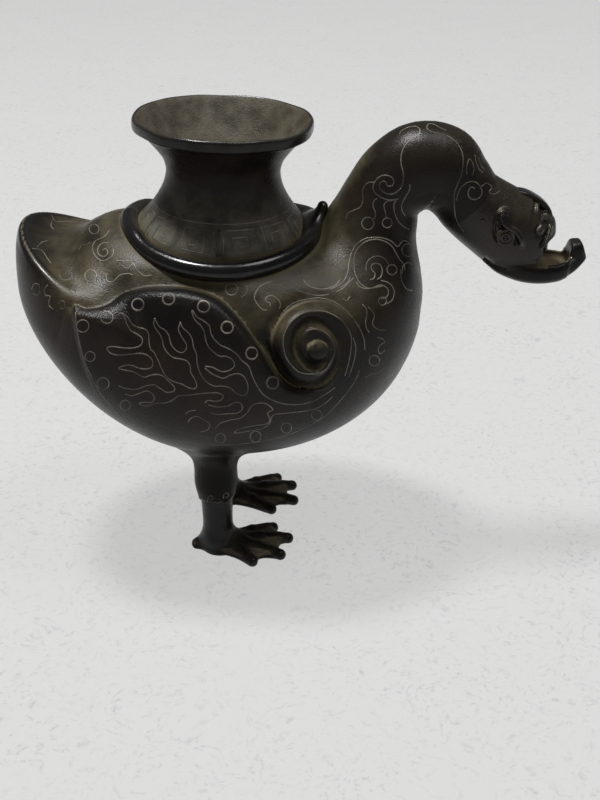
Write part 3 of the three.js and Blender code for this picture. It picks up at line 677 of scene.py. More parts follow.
# Cuts a mesh where value is zero. Triangles repeat their last corner.
def cutMesh(verts, faces, value):
    value = np.where(np.abs(value) < 1e-7, 1e-7, value)
    below = value < 0
    corners = below[faces]
    inside = faces[corners.all(1)]
    outside = faces[~corners.any(1)]
    mixed = faces[corners.any(1) & ~corners.all(1)]
    triangles = np.concatenate([mixed[:, [0, 1, 2]], mixed[:, [0, 2, 3]]])
    triangles = triangles[triangles[:, 1] != triangles[:, 2]]
    triangles = triangles[(triangles[:, 0] != triangles[:, 2]) & (triangles[:, 0] != triangles[:, 1])]
    marks = below[triangles]
    quads = triangles[:, [0, 1, 2, 2]]
    inside = np.concatenate([inside, quads[marks.all(1)]])
    outside = np.concatenate([outside, quads[~marks.any(1)]])
    crossing = triangles[marks.any(1) & ~marks.all(1)]
    marks = below[crossing]
    lone = np.where(marks.sum(1) == 1, marks.argmax(1), (~marks).argmax(1))
    rows = np.arange(len(crossing))
    a, b, c = (crossing[rows, (lone + i) % 3] for i in range(3))
    pairs = np.sort(np.concatenate([np.stack([a, b], 1), np.stack([a, c], 1)]), axis=1)
    pairs, index = np.unique(pairs, axis=0, return_inverse=True)
    index = index.reshape(-1)
    u, v = value[pairs[:, 0]], value[pairs[:, 1]]
    t = (u / (u - v))[:, None]
    made = verts[pairs[:, 0]] * (1 - t) + verts[pairs[:, 1]] * t
    p = len(verts) + index[:len(a)]
    q = len(verts) + index[len(a):]
    small = np.stack([a, p, q, q], 1)
    large = np.stack([p, b, c, q], 1)
    lowFirst = below[a]
    inside = np.concatenate([inside, small[lowFirst], large[~lowFirst]])
    outside = np.concatenate([outside, small[~lowFirst], large[lowFirst]])
    rim = np.concatenate([np.stack([p, q], 1)[lowFirst], np.stack([q, p], 1)[~lowFirst]])
    return np.concatenate([verts, made]), inside, outside, rim


# Joins the edges of a cut into closed loops of corners
def loopsOf(rim):
    after = {}
    for a, b in rim.tolist():
        if a != b:
            after[a] = b
    loops = []
    while after:
        start, at = after.popitem()
        loop = [start]
        while at != start and at in after:
            loop.append(at)
            at = after.pop(at)
        loops.append(loop)
    return loops


# Closes each loop of a cut with a fan, for the side whose faces run along the rim
def fanCaps(verts, faces, rim, center=None):
    for loop in loopsOf(rim):
        if len(loop) < 3:
            continue
        middle = len(verts)
        verts = np.concatenate([verts, [verts[loop].mean(0) if center is None else center]])
        ring = np.asarray(loop)
        ahead = np.roll(ring, -1)
        caps = np.stack([ahead, ring, np.full(len(ring), middle), np.full(len(ring), middle)], 1)
        faces = np.concatenate([faces, caps])
    return verts, faces


# A plate of even thickness under a cut piece of skin
def plate(verts, faces, rim, normals, depth):
    count = len(verts)
    under = verts - normals * depth
    walls = np.stack([rim[:, 1], rim[:, 0], rim[:, 0] + count, rim[:, 1] + count], 1)
    return np.concatenate([verts, under]), np.concatenate([faces, faces[:, ::-1] + count, walls])


# A pocket in the skin that is left, as deep as the plate that lies in it
def pocket(verts, kept, taken, rim, normals, depth):
    count = len(verts)
    under = verts - normals * depth
    walls = np.stack([rim[:, 0], rim[:, 1], rim[:, 1] + count, rim[:, 0] + count], 1)
    return np.concatenate([verts, under]), np.concatenate([kept, taken + count, walls])


def compact(verts, faces):
    used, index = np.unique(faces, return_inverse=True)
    return verts[used], index.reshape(faces.shape), used


def bothSides(verts, faces):
    return ("right", verts, faces), ("left", verts * (1, -1, 1), faces[:, ::-1])


# Collar: heights of its middle line by the angle from the front
collar = {
    "radius": 29.2, "halfWidth": 2.75, "halfHeight": 2.9,
    "cell": 0.5, "box": ((-62, -36, 100), (12, 36, 125)),
    "heights": [(0, 113.0), (24, 112.0), (47, 110.4), (90, 109.2), (134, 111.6), (153, 114.2), (180, 115.8)],
    "tongue": [(0.6, 112.2, 3.0, 10.0), (3.2, 114.0, 2.8, 8.0), (5.2, 116.0, 2.4, 5.2), (6.2, 117.8, 2.0, 3.0),
               (6.6, 119.2, 1.7, 2.1)],
    "blend": 2.0, "tongueFrom": -6.0,
}
collarLine = smoothLine(collar["heights"], 10)
tongueTube = makeTube(collar["tongue"], 8)


def collarField(p):
    x = p[:, 0] - body["widestX"]
    turn = np.degrees(np.arctan2(np.abs(p[:, 1]), x))
    height = np.interp(turn, collarLine[:, 0], collarLine[:, 1])
    a = (np.hypot(x, p[:, 1]) - collar["radius"]) / collar["halfWidth"]
    b = (p[:, 2] - height) / collar["halfHeight"]
    slope = 2 * np.sqrt((a / collar["halfWidth"]) ** 2 + (b / collar["halfHeight"]) ** 2)
    away = np.sqrt(a * a + b * b)
    out = 2 * away * (away - 1) / (slope + 1e-6)
    front = p[:, 0] > collar["tongueFrom"]
    if front.any():
        out[front] = smoothMin(out[front], tubeField(p[front], tongueTube), collar["blend"])
    return out


# Trumpet mouth, turned about a leaning axis: radius and height
trumpet = {
    "lean": math.radians(2.2), "leanHeight": 116.6,
    "outside": [(27.6, 108.6), (27.1, 111.6), (26.2, 114.0), (24.5, 116.8), (22.2, 119.9), (20.2, 123.0),
                (18.6, 126.2), (17.7, 129.4), (17.6, 132.2), (18.7, 135.6), (21.2, 139.0), (24.2, 142.4),
                (25.9, 143.6)],
    "lip": [(26.9, 143.9), (27.3, 144.4), (27.4, 145.4), (27.35, 146.5), (27.1, 147.1), (26.5, 147.3)],
    "inside": [(25.9, 146.7), (21.3, 139.9), (16.2, 133.0), (15.1, 128.0), (15.0, 123.6)],
    "bore": 15.0, "spigot": 17.6, "spigotStep": 116.0, "spigotBottom": 108.6,
    "lipWaves": [(3, 0.16, 0.4), (5, 0.12, 1.9), (8, 0.09, 4.1), (13, 0.06, 2.7)],
    "lipWaveFrom": (136.0, 146.0), "lipRise": 0.9, "lipSpread": 0.8, "spreadShift": 17,
    "around": 168, "outsideSteps": 9, "footRaise": 0.4, "raiseBelow": (120.0, 107.0),
    "dustDepth": (140.0, 118.0), "insideDust": (0.3, 0.3), "collarDust": 0.8, "collarReach": 3.0,
    "lipPolish": 0.3, "lipFrom": (142.8, 145.0), "lipRadius": 26.0,
}
flareLine = smoothLine(trumpet["outside"], trumpet["outsideSteps"])


def uprightTrumpet(p):
    c, s = math.cos(trumpet["lean"]), math.sin(trumpet["lean"])
    x = p[:, 0] - body["widestX"]
    z = p[:, 2] - trumpet["leanHeight"]
    return np.stack([x * c - z * s, p[:, 1], x * s + z * c + trumpet["leanHeight"]], 1)


def leaningTrumpet(p):
    c, s = math.cos(trumpet["lean"]), math.sin(trumpet["lean"])
    z = p[:, 2] - trumpet["leanHeight"]
    return np.stack([p[:, 0] * c + z * s + body["widestX"], p[:, 1],
                     -p[:, 0] * s + z * c + trumpet["leanHeight"]], 1)


def trumpetField(p):
    q = uprightTrumpet(p)
    radius = np.interp(q[:, 2], flareLine[:, 1], flareLine[:, 0])
    out = np.hypot(q[:, 0], q[:, 1])
    return np.maximum((out - radius) * 0.75, q[:, 2] - trumpet["lip"][-1][1])


def allField(p):
    return np.minimum(np.minimum(castingField(p), collarField(p)), trumpetField(p))


# Without the mouth, so that a thin wall is not taken for a ridge
def closedField(p):
    return castingField(p, False)


# How sunk or raised each place is, for dust and polish: reach and share of each hollow looked for
wear = {"hollows": [(2.0, 0.55), (7.0, 0.5), (15.0, 0.45)], "edge": 2.0}


# Patches by pixel place, reach and strength: brown stains, and lighter patches that are mostly old dust that lies
# open and in places painted light
stains = [(45, 300, 42, 0.5), (60, 345, 25, 0.5), (110, 345, 16, 0.5), (150, 372, 26, 0.7), (215, 398, 30, 0.6),
          (255, 425, 20, 0.4), (500, 241, 19, 0.95), (484, 224, 14, 0.45), (520, 262, 16, 0.35), (165, 180, 13, 0.8),
          (262, 178, 9, 0.5), (360, 205, 14, 0.35), (395, 300, 22, 0.3)]
# The lighter patch at (60, 266) is a painted pool of light in the tail's dish; those at (480, 190) and (530, 225)
# are a painted sheen on the head.
dustAndPaintedLightPatches = [(60, 266, 30, 0.5), (85, 290, 42, 0.8), (125, 262, 45, 0.8), (175, 275, 45, 0.9), (240, 292, 40, 0.9),
          (300, 275, 42, 0.8), (330, 240, 28, 0.6), (262, 340, 26, 0.9), (316, 345, 42, 0.7), (360, 290, 35, 0.35),
          (290, 392, 22, 0.7), (480, 190, 40, 0.3), (530, 225, 30, 0.35), (215, 110, 90, 0.8)]
# Places rubbed clean
rubbed = [(574, 246, 9, 1.0), (541, 250, 8, 0.7), (500, 222, 10, 0.5), (516, 238, 8, 0.4)]


def patchesOf(verts, patches):
    q = verts.copy()
    q[:, 1] = -np.abs(q[:, 1])
    pixels = toPixel(q)
    total = np.zeros(len(verts))
    for x, y, reach, strength in patches:
        total += strength * np.exp(-((pixels - (x, y)) ** 2).sum(1) / reach ** 2)
    return np.clip(total, 0, 1)


# The second mark lays the lighter film: dust, and painted light where a patch stands for light
def patchMarks(verts):
    return {"stain": patchesOf(verts, stains), "dustAndPaintedLight": patchesOf(verts, dustAndPaintedLightPatches)}


def wearOf(field, verts, normals):
    sunk = sum(share * (1 - inBatches(field, verts + normals * reach) / reach) for reach, share in wear["hollows"])
    solid = closedField if field is allField else field
    edge = 1 + inBatches(solid, verts - normals * wear["edge"]) / wear["edge"]
    recess = np.clip(sunk, 0, 1) * (1 - patchesOf(verts, rubbed))
    return {"recess": recess, "ridge": np.clip(edge, 0, 1), **patchMarks(verts)}


def addMarks(mesh, marks):
    for key, values in marks.items():
        layer = mesh.attributes.new(key, "FLOAT", "POINT")
        layer.data.foreach_set("value", np.asarray(values, np.float32))


def makePiece(name, verts, faces, material, nodes=(), normals=None, marks=None):
    mesh = bpy.data.meshes.new(name)
    rows = [list(dict.fromkeys(row)) for row in faces.tolist()]
    mesh.from_pydata((verts * metres).tolist(), [], rows)
    mesh.polygons.foreach_set("use_smooth", np.ones(len(mesh.polygons), bool))
    addMarks(mesh, marks or {})
    if normals is not None:
        mesh.normals_split_custom_set_from_vertices(normals.tolist())
    mesh.materials.append(material)
    piece = bpy.data.objects.new(name, mesh)
    bpy.context.scene.collection.objects.link(piece)
    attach(piece, "root")
    if nodes:
        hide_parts(*nodes)
    return piece


def makeCastPiece(name, verts, faces, field, material, nodes, wearField=None, ownMarks=None):
    verts, faces, _ = compact(verts, faces)
    normals = normalsOf(field, verts)
    marks = wearOf(wearField or allField, verts, normals)
    if ownMarks:
        marks.update(ownMarks(verts))
    return makePiece(name, verts, faces, material, nodes, normals, marks)


# Materials

def nodeIn(tree, kind, values=None, **settings):
    node = tree.nodes.new(kind)
    for key, value in settings.items():
        setattr(node, key, value)
    for key, value in (values or {}).items():
        socket = node.inputs[key]
        if isinstance(value, bpy.types.NodeSocket):
            tree.links.new(value, socket)
        else:
            socket.default_value = value
    return node


def newGroup(name, inputs, outputs):
    tree = bpy.data.node_groups.new(name, "ShaderNodeTree")
    for label, kind, value in inputs:
        socket = tree.interface.new_socket(name=label, in_out="INPUT", socket_type=kind)
        socket.default_value = value
    for label, kind in outputs:
        tree.interface.new_socket(name=label, in_out="OUTPUT", socket_type=kind)
    return tree, tree.nodes.new("NodeGroupInput"), tree.nodes.new("NodeGroupOutput")


def mathIn(tree, operation, a, b=0.0, clamp=False):
    node = nodeIn(tree, "ShaderNodeMath", {0: a, 1: b}, operation=operation, use_clamp=clamp)
    return node.outputs[0]


def mixIn(tree, share, a, b):
    return nodeIn(tree, "ShaderNodeMix", {0: share, 6: a, 7: b}, data_type="RGBA").outputs[2]


def rangeIn(tree, value, low, high, newLow=0.0, newHigh=1.0):
    node = nodeIn(tree, "ShaderNodeMapRange", {0: value, 1: low, 2: high, 3: newLow, 4: newHigh},
                  interpolation_type="SMOOTHSTEP")
    return node.outputs[0]


def noiseIn(tree, place, scale, detail=3.0, roughness=0.55):
    node = nodeIn(tree, "ShaderNodeTexNoise", {"Vector": place, "Scale": scale, "Detail": detail,
                                               "Roughness": roughness})
    return node.outputs[0]


# tan is the webs' dust painted far lighter than dust, as painted light on feet that lie in the body's shadow
patina = {
    "black": (0.0046, 0.0043, 0.0044, 1), "brown": (0.0120, 0.0090, 0.0070, 1),
    "dust": (0.100, 0.083, 0.046, 1), "ash": (0.060, 0.051, 0.029, 1),
    "umber": (0.026, 0.015, 0.009, 1), "tan": (0.400, 0.330, 0.220, 1), "grey": (0.165, 0.155, 0.125, 1),
}


# Old bronze: dark brown skin, dust in the hollows, polish on the ridges, fine pits, and a lighter film that is
# partly dust and partly painted light
def makePatinaGroup():
    tree, inward, outward = newGroup(
        "oldBronzePatina",
        [("Recess", "NodeSocketFloat", 0.0), ("Ridge", "NodeSocketFloat", 0.0), ("Stain", "NodeSocketFloat", 0.0),
         ("DustAndPaintedLight", "NodeSocketFloat", 0.0), ("Dust", "NodeSocketFloat", 1.0), ("Film", "NodeSocketFloat", 0.2),
         ("Ash", "NodeSocketColor", patina["ash"])],
        [("Color", "NodeSocketColor"), ("Roughness", "NodeSocketFloat"), ("Height", "NodeSocketFloat"),
         ("Polish", "NodeSocketFloat")])
    place = tree.nodes.new("ShaderNodeTexCoord").outputs["Object"]
    broad = noiseIn(tree, place, 45.0, 4.0)
    middle = noiseIn(tree, place, 210.0, 5.0, 0.62)
    fine = noiseIn(tree, place, 1700.0, 3.0, 0.6)
    skin = mixIn(tree, rangeIn(tree, broad, 0.32, 0.68), patina["black"], patina["brown"])
    stain = mathIn(tree, "MULTIPLY", inward.outputs["Stain"], rangeIn(tree, middle, 0.3, 0.62, 0.25, 1.0))
    skin = mixIn(tree, stain, skin, patina["umber"])
    facing = nodeIn(tree, "ShaderNodeSeparateXYZ",
                    {0: tree.nodes.new("ShaderNodeNewGeometry").outputs["Normal"]}).outputs[2]
    lying = rangeIn(tree, facing, -0.05, 0.7)
    # The cover mark lays a lighter film, partly dust and partly painted light
    film = mathIn(tree, "ADD", inward.outputs["Film"], inward.outputs["DustAndPaintedLight"], clamp=True)
    film = mathIn(tree, "MULTIPLY", lying, film)
    film = mathIn(tree, "MULTIPLY", film, rangeIn(tree, middle, 0.3, 0.66, 0.45, 1.0))
    film = mathIn(tree, "MULTIPLY", film, rangeIn(tree, broad, 0.3, 0.6, 0.5, 1.0))
    film = mathIn(tree, "MULTIPLY", film, rangeIn(tree, inward.outputs["Ridge"], 0.1, 0.4, 1.0, 0.15))
    grey = mixIn(tree, film, skin, inward.outputs["Ash"])
    sunk = mathIn(tree, "ADD", inward.outputs["Recess"], mathIn(tree, "MULTIPLY", middle, 0.3))
    sunk = mathIn(tree, "SUBTRACT", sunk, 0.15)
    settled = mathIn(tree, "MULTIPLY", rangeIn(tree, sunk, 0.1, 0.7), inward.outputs["Dust"])
    settled = mathIn(tree, "MULTIPLY", settled, rangeIn(tree, facing, -0.15, 0.6, 0.12, 1.0), clamp=True)
    dusty = mixIn(tree, settled, grey, patina["dust"])
    polish = mathIn(tree, "MULTIPLY", rangeIn(tree, inward.outputs["Ridge"], 0.08, 0.4),
                    rangeIn(tree, middle, 0.25, 0.6, 0.55, 1.0))
    polish = mathIn(tree, "MULTIPLY", polish, mathIn(tree, "SUBTRACT", 1.0, settled), clamp=True)
    shown = mixIn(tree, mathIn(tree, "MULTIPLY", polish, 0.75), dusty, patina["black"])
    rough = mathIn(tree, "ADD", 0.2, mathIn(tree, "MULTIPLY", middle, 0.2))
    rough = mathIn(tree, "SUBTRACT", rough, mathIn(tree, "MULTIPLY", polish, 0.08))
    rough = mathIn(tree, "ADD", rough, mathIn(tree, "MULTIPLY", settled, 0.3))
    rough = mathIn(tree, "ADD", rough, mathIn(tree, "MULTIPLY", film, 0.06))
    pits = mathIn(tree, "ADD", fine, middle)
    tree.links.new(shown, outward.inputs["Color"])
    tree.links.new(rough, outward.inputs["Roughness"])
    tree.links.new(pits, outward.inputs["Height"])
    tree.links.new(polish, outward.inputs["Polish"])
    return tree


patinaGroup = makePatinaGroup()


def makeBronze(name, dust=1.0, dustAndPaintedLight=0.0, film=0.1, bump=0.3, shine=0.15, ash="ash"):
    material = bpy.data.materials.new(name)
    material.use_nodes = True
    tree = material.node_tree
    shader = tree.nodes["Principled BSDF"]
    marks = {key: nodeIn(tree, "ShaderNodeAttribute", attribute_name=key).outputs["Fac"]
             for key in ("recess", "ridge", "stain", "dustAndPaintedLight")}
    group = nodeIn(tree, "ShaderNodeGroup", node_tree=patinaGroup)
    for label, value in (("Dust", dust), ("Film", film), ("Ash", patina[ash])):
        group.inputs[label].default_value = value
    for key in ("recess", "ridge", "stain"):
        tree.links.new(marks[key], group.inputs[key.capitalize()])
    tree.links.new(mathIn(tree, "MULTIPLY", marks["dustAndPaintedLight"], dustAndPaintedLight), group.inputs["DustAndPaintedLight"])
    tree.links.new(group.outputs["Color"], shader.inputs["Base Color"])
    tree.links.new(group.outputs["Roughness"], shader.inputs["Roughness"])
    pits = nodeIn(tree, "ShaderNodeBump", {"Height": group.outputs["Height"], "Strength": bump,
                                           "Distance": 0.0006})
    tree.links.new(pits.outputs[0], shader.inputs["Normal"])
    shader.inputs["Specular IOR Level"].default_value = shine
    shader.inputs["Coat Roughness"].default_value = 0.16
    tree.links.new(mathIn(tree, "MULTIPLY", group.outputs["Polish"], 0.5), shader.inputs["Coat Weight"])
    return material


wire = {"width": 0.32, "proud": 0.035, "sunk": 0.12, "longestStep": 4.0,
        "bright": (0.145, 0.132, 0.102, 1), "dull": (0.045, 0.039, 0.029, 1)}


# Tarnished silver that is half lost under the skin here and there
def makeSilver():
    material = bpy.data.materials.new("tarnishedSilver")
    material.use_nodes = True
    tree = material.node_tree
    shader = tree.nodes["Principled BSDF"]
    place = tree.nodes.new("ShaderNodeTexCoord").outputs["Object"]
    worn = rangeIn(tree, noiseIn(tree, place, 160.0, 4.0), 0.35, 0.62)
    tree.links.new(mixIn(tree, worn, wire["dull"], wire["bright"]), shader.inputs["Base Color"])
    rough = rangeIn(tree, noiseIn(tree, place, 900.0), 0.3, 0.7, 0.38, 0.62)
    tree.links.new(rough, shader.inputs["Roughness"])
    shader.inputs["Metallic"].default_value = 0.25
    return material


bronzeBody = makeBronze("darkBronze", dustAndPaintedLight=1.0, bump=0.2)
bronzeWing = makeBronze("wingBronze", dust=0.25, film=0.03)
bronzeScroll = makeBronze("spiralBronze", dustAndPaintedLight=0.8, film=0.05)
# The grey film inside the trumpet is partly dust and partly painted light from above, lighter than the dust alone
bronzeTrumpet = makeBronze("mouthBronze", dustAndPaintedLight=0.8, film=0.25, shine=0.1, ash="grey")
bronzeCollar = makeBronze("collarBronze", dust=0.3, film=0.04, bump=0.18)
# The head's cover patches give it a painted sheen as well as dust
bronzeHead = makeBronze("headBronze", dust=0.7, dustAndPaintedLight=1.0, bump=0.2, shine=0.3)
bronzeBill = makeBronze("billBronze", dustAndPaintedLight=1.0, bump=0.2)
bronzeCrest = makeBronze("crestBronze", dust=0.3, dustAndPaintedLight=0.4, film=0.06)
# The webs take the tan film: web dust with painted light laid over the body's shadow
bronzeFeet = makeBronze("footBronze", dust=0.6, dustAndPaintedLight=1.0, film=0.5, shine=0.08, ash="tan")
bronzeLeg = makeBronze("legBronze", dust=0.1, film=0.0, shine=0.08)
silver = makeSilver()
print("materials made")


# Body with pockets for the wings and spirals, seats for neck and thighs

plates = {"depth": 2.0, "gap": 0.06, "cell": 0.6, "box": ((-72, -50, 48), (24, -14, 110)),
          "inmost": -12.0, "lowest": 50.0, "outside": 60.0}


def flankRegion(grid, p):
    q = p.copy()
    q[:, 1] = -np.abs(q[:, 1])
    value = readGrid(grid, toPixel(q), plates["outside"])
    return np.where((q[:, 1] < plates["inmost"]) & (q[:, 2] > plates["lowest"]), value, plates["outside"])


def alongNeck(p, station):
    index = station * tubeSteps
    return ((p[:, [0, 2]] - neckTube["line"][index, :2]) * neckTube["tangent"][index]).sum(1)


def thighReach(p):
    out = np.hypot(p[:, 0] - leg["x"], np.abs(p[:, 1]) - leg["y"]) - leg["seam"]
    return np.maximum(out, p[:, 2] - leg["seamTop"])




def makeBody():
    verts, faces = netOf(bodyField, *body["box"], body["cell"])
    verts, _, faces, rim = cutMesh(verts, faces, -alongNeck(verts, neck["rootSeam"]))
    verts, faces = fanCaps(verts, faces, rim[:, ::-1])
    verts, _, faces, rim = cutMesh(verts, faces, thighReach(verts))
    verts, faces = fanCaps(verts, faces, rim[:, ::-1])
    region = np.minimum(flankRegion(wingRegion, verts), flankRegion(scrollRegion, verts))
    verts, taken, kept, rim = cutMesh(verts, faces, region)
    normals = normalsOf(bodyField, verts)
    verts, faces = pocket(verts, kept, taken, rim, normals, plates["depth"] + plates["gap"])
    makeCastPiece("body", verts, faces, bodyField, bronzeBody, ["body_shell"])
    print("body made", len(faces))


def makePlates():
    verts, faces = netOf(castingField, *plates["box"], plates["cell"])
    for name, grid, node, material in (("wing_plate", wingRegion, "wing", bronzeWing),
                                       ("spiral_plate", scrollRegion, "scroll", bronzeScroll)):
        v, taken, _, rim = cutMesh(verts, faces, flankRegion(grid, verts))
        v, taken, used = compact(v, taken)
        rim = np.searchsorted(used, rim)
        v, f = plate(v, taken, rim, normalsOf(castingField, v), plates["depth"])
        for side, v, f in bothSides(v, f):
            makeCastPiece(f"{side}_{name}", v, f, castingField, material, [f"{side}_{node}"])
        print(name, "made", len(f))


def makeThighs():
    verts, faces = netOf(castingField, *leg["box"], leg["cell"])
    verts, faces, _, rim = cutMesh(verts, faces, thighReach(verts))
    verts, faces = fanCaps(verts, faces, rim)
    for side, v, f in bothSides(verts, faces):
        makeCastPiece(side + "_thigh_sleeve", v, f, castingField, bronzeLeg, [side + "_thigh"])
    print("thighs made", len(faces))


def makeNeckAndHead():
    verts, faces = netOf(castingField, *neck["box"], neck["cell"])
    verts, faces, _, rim = cutMesh(verts, faces, -alongNeck(verts, neck["rootSeam"]))
    verts, faces = fanCaps(verts, faces, rim)
    verts, faces, _, rim = cutMesh(verts, faces, alongNeck(verts, neck["headSeam"]))
    verts, faces = fanCaps(verts, faces, rim)
    makeCastPiece("neck_bend", verts, faces, castingField, bronzeBody, ["neck"])
    print("neck made", len(faces))
    verts, faces = netOf(castingField, *bill["box"], bill["cell"])
    verts, faces, _, rim = cutMesh(verts, faces, -alongNeck(verts, neck["headSeam"]))
    verts, faces = fanCaps(verts, faces, rim)
    jaw = verts[:, 2] - np.interp(verts[:, 0], *np.transpose(bill["jawLine"]))
    verts, jawFaces, headFaces, rim = cutMesh(verts, faces, jaw)
    v, f = fanCaps(verts, headFaces, rim[:, ::-1], bill["capMiddle"])
    makeCastPiece("head_casting", v, f, castingField, bronzeHead, ["head"])
    v, f = fanCaps(verts, jawFaces, rim, bill["capMiddle"])
    makeCastPiece("spout_bill", v, f, castingField, bronzeBill, ["lower_bill"])
    print("head and bill made", len(headFaces) + len(jawFaces))


makeBody()
makePlates()
makeThighs()
makeNeckAndHead()


def makeCollar():
    verts, faces = netOf(collarField, *collar["box"], collar["cell"])
    makeCastPiece("collar_band", verts, faces, collarField, bronzeCollar, ["collar_ring"])
    print("collar made", len(faces))


# Rings of points joined into a closed skin; the last ring joins the first when looped
def skinRings(rings, looped=False):
    count = rings.shape[1]
    index = np.arange(len(rings) * count).reshape(len(rings), count)
    ahead = np.roll(index, -1, 0) if looped else index[1:]
    start = index if looped else index[:-1]
    a, b = start, np.roll(start, -1, 1)
    c, d = np.roll(ahead, -1, 1), ahead
    return rings.reshape(-1, 3), np.stack([a, b, c, d], -1).reshape(-1, 4)


# The foot of the flare follows the saddle of the back a little
def footRaise(p, height):
    turn = np.arctan2(p[:, 1], p[:, 0] - body["widestX"])
    x = body["widestX"] + trumpet["outside"][0][0] * np.cos(turn)
    y = trumpet["outside"][0][0] * np.sin(turn)
    rise = np.maximum(backHeight(x, y) - trumpet["outside"][0][1], 0)
    return trumpet["footRaise"] * rise * smoothStep(*trumpet["raiseBelow"], height)


def makeTrumpet():
    around = max(24, int(trumpet["around"] / coarser))
    turn = np.linspace(0, 2 * np.pi, around, endpoint=False)
    outer = flareLine
    lip = smoothLine([trumpet["outside"][-1]] + trumpet["lip"] + [trumpet["inside"][0]], 4)[1:-1]
    inner = smoothLine(trumpet["inside"], 12)
    bore, spigot, bottom = (trumpet[key] for key in ("bore", "spigot", "spigotBottom"))
    profile = np.vstack([outer, lip, inner, [(bore, trumpet["spigotStep"]), (bore, bottom), (spigot, bottom)]])
    radius = np.repeat(profile[:, :1], around, 1)
    height = np.repeat(profile[:, 1:], around, 1)
    wave = sum(size * np.sin(n * turn + phase) for n, size, phase in trumpet["lipWaves"])
    nearLip = smoothStep(*trumpet["lipWaveFrom"], height)
    height = height + wave * nearLip * trumpet["lipRise"]
    radius = radius + np.roll(wave, trumpet["spreadShift"]) * nearLip * trumpet["lipSpread"]
    rings = np.stack([radius * np.cos(turn), radius * np.sin(turn), height], 2)
    shape = rings.shape
    rings = leaningTrumpet(rings.reshape(-1, 3)).reshape(shape)
    outside = rings[:len(outer)].reshape(-1, 3)
    rings[:len(outer), :, 2] += footRaise(outside, height[:len(outer)].reshape(-1)).reshape(len(outer), around)
    verts, faces = skinRings(rings, True)
    piece = makePiece("trumpet_flare", verts, faces, bronzeTrumpet, ["trumpet_mouth"])
    normals = np.empty(len(verts) * 3, np.float32)
    piece.data.vertices.foreach_get("normal", normals)
    normals = normals.reshape(-1, 3).astype(float)
    within = np.repeat((np.arange(len(profile)) >= len(outer) + len(lip) - 2), around)
    least, deeper = trumpet["insideDust"]
    reach = trumpet["collarReach"]
    underCollar = 1 - inBatches(collarField, verts + normals * reach) / reach
    recess = np.where(within, least + deeper * smoothStep(*trumpet["dustDepth"], verts[:, 2]),
                      np.clip(underCollar * trumpet["collarDust"], 0, 1))
    rim = smoothStep(*trumpet["lipFrom"], profile[:, 1]) * (profile[:, 0] > trumpet["lipRadius"])
    ridge = np.repeat(trumpet["lipPolish"] * rim, around) * ~within
    addMarks(piece.data, {"recess": recess, "ridge": ridge, **patchMarks(verts)})
    print("trumpet made", len(faces))


makeCollar()
makeTrumpet()


# Feet: toe tips ahead of the leg and outward from it
foot = {
    "tips": {"right": [(20.4, -10.3), (26, -3.3), (23.4, 7.2), (13.5, 11.7)],
             "left": [(19.6, -9.9), (27.8, -3.4), (27.1, 7.4), (21.2, 13)]},
    "toeRoot": 2.5, "toeMid": 2.15, "toeTip": 1.95, "toeTipHeight": 1.7, "knuckleAt": 0.55, "knuckleRise": 0.7,
    "knuckleBlend": 0.8, "toesBlend": 0.7, "legBlend": 2.2, "soleRounding": 0.5,
    "web": 1.25, "webReach": 0.86, "webUnder": 0.4, "webBlend": 1.7, "webShade": (0.05, 0.6), "toePolish": 0.3,
    "cell": 0.5, "boxLow": (-12, -16, -2), "boxHigh": (31, 16, 26),
    "shank": [(5.3, 0.0), (5.3, 3.4), (5.2, 8.5), (5.15, 13.0), (5.3, 18.0), (5.5, 22.4), (4.8, 23.4)],
    "heel": {"back": 7.4, "height": 1.7, "radius": 1.7, "from": 1.5, "fromHeight": 5.0, "fromRadius": 4.4,
             "blend": 2.0},
    "instep": {"ahead": 9.0, "outward": 0.6, "height": 2.6, "radius": 2.6, "fromHeight": 6.4, "fromRadius": 4.4,
               "blend": 2.5},
    "toeRootAhead": 2.6, "toeRootHeight": 3.6,
}
shankLine = smoothLine([(z, r) for r, z in foot["shank"]], 6)


def capsuleField(p, a, b, ra, rb):
    ab = b - a
    t = np.clip(((p - a) @ ab) / (ab @ ab), 0, 1)
    return np.linalg.norm(p - a - t[:, None] * ab, axis=1) - (ra + (rb - ra) * t)


# Distance to a triangle of skin between two toes
def webField(p, a, b, c):
    n = np.cross(b - a, c - a)
    n = n / np.linalg.norm(n)
    off = (p - a) @ n
    inside = np.ones(len(p), bool)
    gap = np.full(len(p), 1e9)
    for u, v in ((a, b), (b, c), (c, a)):
        inside &= (p - u) @ np.cross(v - u, n) <= 0
        gap = np.minimum(gap, capsuleField(p, u, v, 0.0, 0.0))
    return np.where(inside, np.abs(off), gap) - foot["web"]


